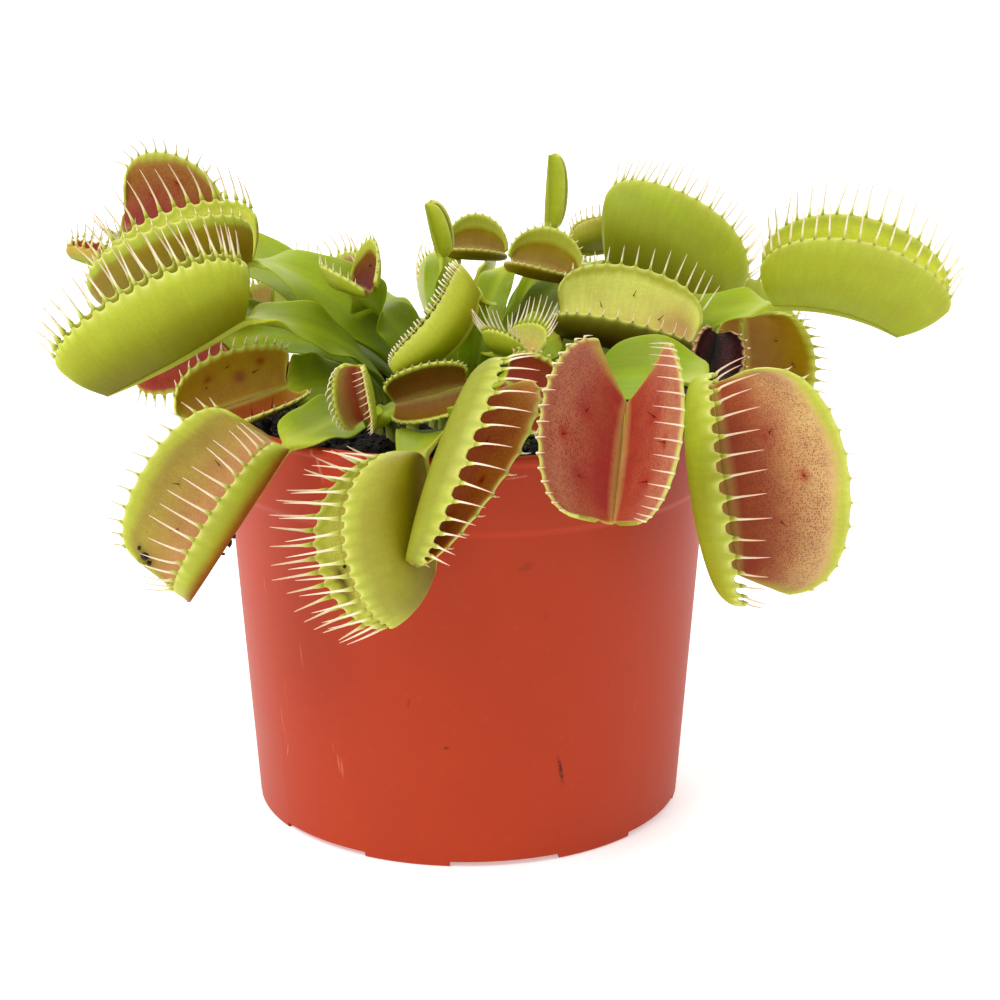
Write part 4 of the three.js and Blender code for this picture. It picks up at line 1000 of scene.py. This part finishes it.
# ------------------------------------------------------------------ materials
class Nodes:
    """A material's node tree under construction."""

    def __init__(self, name):
        self.material = bpy.data.materials.new(name)
        self.material.use_nodes = True
        self.tree = self.material.node_tree
        self.surface = self.tree.nodes["Principled BSDF"]

    def add(self, kind, inputs=None, **settings):
        """A node with its settings, and with values or links put into its inputs by name."""
        made = self.tree.nodes.new(kind)
        for key, value in settings.items():
            setattr(made, key, value)
        for key, value in (inputs or {}).items():
            self.put(made, key, value)
        return made

    def put(self, owner, key, value):
        """Links a socket, or sets a plain value, on an input."""
        if isinstance(value, bpy.types.NodeSocket):
            self.tree.links.new(value, owner.inputs[key])
        else:
            owner.inputs[key].default_value = value

    def attribute(self, name, output="Fac"):
        """One output of a named attribute of the piece."""
        return self.add("ShaderNodeAttribute", attribute_name=name).outputs[output]

    def place(self):
        """The place on the object, in metres."""
        return self.add("ShaderNodeTexCoord").outputs["Object"]

    def noise(self, vector, scale, detail):
        """Noise around one half, over a vector."""
        made = self.add("ShaderNodeTexNoise", {
            "Vector": vector, "Scale": scale, "Detail": detail, "Roughness": 0.55})
        return made.outputs["Fac"]

    def remap(self, value, low, high, to_low=0.0, to_high=1.0):
        """A value moved from one range to another and held inside it."""
        made = self.add("ShaderNodeMapRange", {
            "Value": value, "From Min": low, "From Max": high, "To Min": to_low, "To Max": to_high})
        return made.outputs["Result"]

    def math(self, operation, first, second=0.0):
        """One arithmetic step."""
        return self.add("ShaderNodeMath", {0: first, 1: second}, operation=operation).outputs[0]

    def mix(self, factor, first, second):
        """Two colours mixed: links, or linear colours without their alpha."""
        made = self.add("ShaderNodeMix", data_type="RGBA")
        for index, value in ((0, factor), (6, first), (7, second)):
            if isinstance(value, bpy.types.NodeSocket):
                self.tree.links.new(value, made.inputs[index])
            else:
                made.inputs[index].default_value = value if index == 0 else (*value, 1)
        return made.outputs[2]

    def finish(self, inputs, height=None, strength=0.0, distance=0.0):
        """Fills the shader's inputs; a height, if given, becomes a bump of so many metres."""
        for key, value in inputs.items():
            self.put(self.surface, key, value)
        if height is not None:
            bump = self.add("ShaderNodeBump", {
                "Height": height, "Strength": strength, "Distance": distance})
            self.put(self.surface, "Normal", bump.outputs["Normal"])
        return self.material


def leaf_material(settings):
    """Waxy living leaf: its point colours, mottled, with red gland dots inside and fine veins."""
    m = Nodes("leaf")
    grain = m.attribute("grain", "Vector")
    tint = m.attribute("tint", "Color")
    mark = m.attribute("mark")
    cloud = m.noise(grain, 0.22, 4)
    fine = m.noise(grain, 2.4, 3)
    long = m.add("ShaderNodeMapping", {"Vector": grain, "Scale": (1.5, 0.16, 1.0)}).outputs["Vector"]
    vein = m.noise(long, 1.0, 2)
    value = m.math("MULTIPLY", m.remap(cloud, 0.25, 0.75, 0.9, 1.1), m.remap(fine, 0.3, 0.7, 0.95, 1.06))
    lively = m.add("ShaderNodeHueSaturation", {
        "Hue": m.remap(cloud, 0.3, 0.7, 0.492, 0.508), "Saturation": settings.leaf_saturation,
        "Value": m.math("MULTIPLY", value, m.remap(vein, 0.4, 0.75, 0.98, 1.07)), "Color": tint})
    dots = m.add("ShaderNodeTexVoronoi", {"Vector": grain, "Scale": 3.2, "Randomness": 0.55})
    speck = m.math("MULTIPLY", m.remap(dots.outputs["Distance"], 0.3, 0.52, 1.0, 0.0), mark)
    patch = m.noise(grain, 0.34, 2)
    speck = m.math("MULTIPLY", speck, m.remap(patch, 0.3, 0.62, 0.6, 1.0))
    red = linear(settings.trap_red)
    flush = m.math("MULTIPLY", m.remap(patch, 0.4, 0.7), m.math("MULTIPLY", mark, 0.12))
    flushed = m.mix(flush, lively.outputs["Color"], red)
    spotted = m.mix(m.math("MULTIPLY", speck, 0.7), flushed, red * (0.6, 0.8, 0.5))
    height = m.math("ADD", m.math("MULTIPLY", fine, 0.5), m.math("MULTIPLY", vein, 0.8))
    return m.finish({
        "Base Color": spotted, "Roughness": m.remap(fine, 0.3, 0.7, 0.42, 0.56),
        "Subsurface Weight": 0.22, "Subsurface Radius": (0.9, 1.0, 0.35), "Subsurface Scale": 0.0012,
        "Specular IOR Level": 0.28}, height, 0.25, 0.00015)


# Scuffs on the pot's front: centre, tilt in degrees, half length, half width, strength, colour. Each
# is an ellipsoid that reaches SCUFF_DEPTH into the wall.
SCUFF_DEPTH = 4
SCUFFS = [
    ((15.2, -34.2, 15.8), -10, 3.4, 0.42, 1.0, (0.22, 0.10, 0.07)),
    ((-3.0, -37.7, 21.1), 80, 0.7, 0.32, 0.9, (0.25, 0.10, 0.07)),
    ((-8.9, -37.3, 28.4), 8, 1.3, 0.3, 0.7, (0.42, 0.14, 0.09)),
    ((9.5, -38.9, 51.4), 70, 1.7, 0.9, 0.5, (0.40, 0.16, 0.10)),
    ((12.6, -37.4, 43.0), 30, 0.5, 0.4, 0.5, (0.40, 0.16, 0.10)),
    ((8.1, -41.1, 66.3), 84, 2.2, 0.22, 0.7, (0.90, 0.55, 0.45)),
    ((-29.5, -22.5, 15.0), 5, 1.6, 0.16, 0.5, (0.88, 0.50, 0.40)),
]


def pot_material(settings):
    """Thin moulded plastic: even colour with faint clouding, dust, hairline scratches and scuffs."""
    m = Nodes("pot_plastic")
    place = m.place()
    cloud = m.noise(place, 28, 4)
    speckle = m.noise(place, 900, 2)
    base = np.array(settings.pot_colour)
    colour = m.mix(m.remap(cloud, 0.3, 0.7), linear(base * 0.95), linear(base))
    colour = m.mix(m.remap(speckle, 0.62, 0.75, 0.0, 0.2), colour, linear(base * 0.9 + 0.1))
    tilted = m.add("ShaderNodeMapping", {
        "Vector": place, "Rotation": (0.3, 0.5, 0.9), "Scale": (40, 900, 60)})
    streak = m.noise(tilted.outputs["Vector"], 1.0, 2)
    where = m.noise(place, 55, 1)
    scratch = m.math("MULTIPLY", m.remap(streak, 0.68, 0.74), m.remap(where, 0.58, 0.66))
    colour = m.mix(m.math("MULTIPLY", scratch, 0.35), colour, linear(SCRATCH))
    worn = m.remap(m.noise(place, 2200, 2), 0.32, 0.6)
    for centre, tilt, half_long, half_wide, strength, tone in SCUFFS:
        local = m.add("ShaderNodeMapping", {
            "Vector": place, "Location": np.array(centre) * MM, "Rotation": (0, np.radians(tilt), 0),
            "Scale": (half_wide * MM, SCUFF_DEPTH * MM, half_long * MM)}, vector_type="TEXTURE")
        reach = m.add("ShaderNodeVectorMath", {0: local.outputs["Vector"]}, operation="LENGTH")
        share = m.math("MULTIPLY", m.remap(reach.outputs["Value"], 0.4, 1.0, strength, 0.0), worn)
        colour = m.mix(share, colour, linear(tone))
    rings = m.add("ShaderNodeTexWave", {"Vector": place, "Scale": 160.0, "Distortion": 0.4},
                  wave_type="BANDS", bands_direction="Z")
    height = m.math("ADD", m.math("MULTIPLY", rings.outputs["Fac"], 0.25), m.math("MULTIPLY", speckle, 0.4))
    height = m.math("SUBTRACT", height, m.math("MULTIPLY", scratch, 0.8))
    return m.finish({
        "Base Color": colour, "Roughness": m.remap(cloud, 0.3, 0.7, 0.44, 0.52),
        "Specular IOR Level": 0.16, "Subsurface Weight": 0.08, "Subsurface Radius": (1.0, 0.4, 0.25),
        "Subsurface Scale": 0.0015}, height, 0.25, 0.0001)


def peat_material():
    """Damp peat: near-black crumbs with brown flecks, rough and grainy, a little wet shine."""
    m = Nodes("peat")
    place = m.place()
    grit = m.noise(place, 1500, 4)
    clump = m.noise(place, 260, 3)
    colour = m.mix(m.remap(grit, 0.45, 0.75, 0.0, 0.5), m.attribute("tint", "Color"), linear(PEAT_FLECK))
    colour = m.mix(m.remap(clump, 0.4, 0.65, 0.7, 0.0), colour, linear(PEAT_DEEP))
    return m.finish({"Base Color": colour, "Roughness": m.remap(clump, 0.3, 0.7, 0.6, 0.95)},
                    m.math("ADD", grit, clump), 0.9, 0.0004)


def floor_material():
    """A pale matt studio ground with a faint glow, so that it stays light to its far edge."""
    m = Nodes("studio_ground")
    tone = m.remap(m.noise(m.place(), 6, 2), 0.3, 0.7, 0.99, 1.0)
    return m.finish({
        "Base Color": m.mix(tone, (0.86, 0.86, 0.86), (0.9, 0.9, 0.9)), "Roughness": 0.6,
        "Emission Color": (1, 1, 1, 1), "Emission Strength": GROUND_GLOW})


def dress(piece, material, node):
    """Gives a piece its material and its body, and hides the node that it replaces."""
    piece.data.materials.clear()
    piece.data.materials.append(material)
    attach(piece, "root")
    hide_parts(node)


# ------------------------------------------------------------------ add-on
class FlytrapSettings(bpy.types.PropertyGroup):
    """Sizes and colours of the potted plant."""

    pot_colour: FloatVectorProperty(
        name="Pot colour", description="Colour of the moulded plastic", subtype="COLOR_GAMMA", size=3,
        default=(0.69, 0.218, 0.085), min=0, max=1)
    trap_red: FloatVectorProperty(
        name="Trap red", description="Colour of the glands inside the traps", subtype="COLOR_GAMMA",
        size=3, default=(0.66, 0.16, 0.14), min=0, max=1)
    leaf_saturation: FloatProperty(
        name="Leaf saturation", description="How strong the leaf colours are", default=1.08, min=0, max=2)
    crumbs: IntProperty(
        name="Peat crumbs", description="How many crumbs lie on the soil", default=3000, min=0, max=6000)
    ground_size: FloatProperty(
        name="Ground size", description="Side of the studio ground", default=8.0, min=1, unit="LENGTH")


class FLYTRAP_OT_pot(bpy.types.Operator):
    """Adds the tapered plastic pot with its rim band, drain holes and notched foot"""

    bl_idname = "flytrap.pot"
    bl_label = "Add pot"

    def execute(self, context):
        dress(build_pot(), pot_material(context.scene.flytrap), "pot")
        return {"FINISHED"}


class FLYTRAP_OT_soil(bpy.types.Operator):
    """Adds the peat with its crumbs, fibres and dead leaf ends"""

    bl_idname = "flytrap.soil"
    bl_label = "Add soil"

    def execute(self, context):
        dress(build_soil(context.scene.flytrap.crumbs), peat_material(), "soil")
        return {"FINISHED"}


class FLYTRAP_OT_leaves(bpy.types.Operator):
    """Adds every leaf: stalk and blade, midrib, trap halves, teeth and trigger hairs"""

    bl_idname = "flytrap.leaves"
    bl_label = "Add leaves"

    def execute(self, context):
        material = leaf_material(context.scene.flytrap)
        for index, name in enumerate(LEAVES):
            dress(build_leaf(name, index), material, name)
        return {"FINISHED"}


class FLYTRAP_OT_stage(bpy.types.Operator):
    """Adds the pale ground, the soft lights and the camera"""

    bl_idname = "flytrap.stage"
    bl_label = "Add stage"

    def execute(self, context):
        build_stage(context.scene)
        return {"FINISHED"}


class FLYTRAP_PT_panel(bpy.types.Panel):
    """Sidebar panel with the plant's settings and steps"""

    bl_idname = "FLYTRAP_PT_panel"
    bl_label = "Potted Venus flytrap"
    bl_space_type = "VIEW_3D"
    bl_region_type = "UI"
    bl_category = "Flytrap"

    def draw(self, context):
        for name in FlytrapSettings.__annotations__:
            self.layout.prop(context.scene.flytrap, name)
        for operator in OPERATORS:
            self.layout.operator(operator.bl_idname)


# ------------------------------------------------------------------ stage
CAMERA = dict(place=(5.5, -371, 155.5), pitch=15.7, lens=81.4, sensor=36.0)
SURROUND_STRENGTH, GROUND_GLOW = 0.75, 0.38
LIGHTS_AIM = (0, 0, 0.07)
LIGHTS = [
    # name, place in metres, side in metres, watts
    ("key", (-0.55, -0.5, 0.9), 0.5, 8.0),
    ("back", (0.1, 0.8, 0.8), 0.8, 5.0),
]


def aim(thing, target):
    """Turns an object's -Z towards a point."""
    thing.rotation_euler = (Vector(target) - thing.location).to_track_quat("-Z", "Y").to_euler()


def build_stage(scene):
    """A wide pale ground, a bright even surround, two soft lights and the camera."""
    half = scene.flytrap.ground_size / 2
    corners = [(-half, -half, 0), (half, -half, 0), (half, half, 0), (-half, half, 0)]
    mesh = bpy.data.meshes.new("ground")
    mesh.from_pydata(corners, [], [(0, 1, 2, 3)])
    mesh.materials.append(floor_material())
    ground = bpy.data.objects.new("ground", mesh)
    scene.collection.objects.link(ground)

    world = bpy.data.worlds.new("surround")
    world.use_nodes = True
    background = world.node_tree.nodes["Background"]
    background.inputs["Color"].default_value = (1, 1, 1, 1)
    background.inputs["Strength"].default_value = SURROUND_STRENGTH
    scene.world = world
    scene.view_settings.view_transform = "Standard"

    for name, place, side, watts in LIGHTS:
        lamp = bpy.data.lights.new(name, "AREA")
        lamp.size, lamp.energy = side, watts
        light = bpy.data.objects.new(name, lamp)
        light.location = place
        scene.collection.objects.link(light)
        aim(light, LIGHTS_AIM)

    lens = bpy.data.cameras.new("camera")
    lens.lens, lens.sensor_width = CAMERA["lens"], CAMERA["sensor"]
    lens.clip_start, lens.clip_end = 0.01, 50
    camera = bpy.data.objects.new("camera", lens)
    camera.location = np.array(CAMERA["place"]) * MM
    camera.rotation_euler = (np.radians(90 - CAMERA["pitch"]), 0, 0)
    scene.collection.objects.link(camera)
    scene.camera = camera


# ------------------------------------------------------------------ registration
OPERATORS = (FLYTRAP_OT_pot, FLYTRAP_OT_soil, FLYTRAP_OT_leaves, FLYTRAP_OT_stage)
CLASSES = (FlytrapSettings, *OPERATORS, FLYTRAP_PT_panel)


def register():
    """Adds the classes and the scene's settings."""
    for item in CLASSES:
        bpy.utils.register_class(item)
    bpy.types.Scene.flytrap = PointerProperty(type=FlytrapSettings)


def unregister():
    """Takes the settings and the classes away."""
    del bpy.types.Scene.flytrap
    for item in reversed(CLASSES):
        bpy.utils.unregister_class(item)


def main():
    """Builds the whole object and its stage."""
    register()
    bpy.ops.flytrap.pot()
    bpy.ops.flytrap.soil()
    bpy.ops.flytrap.leaves()
    bpy.ops.flytrap.stage()


if __name__ == "__main__":
    main()
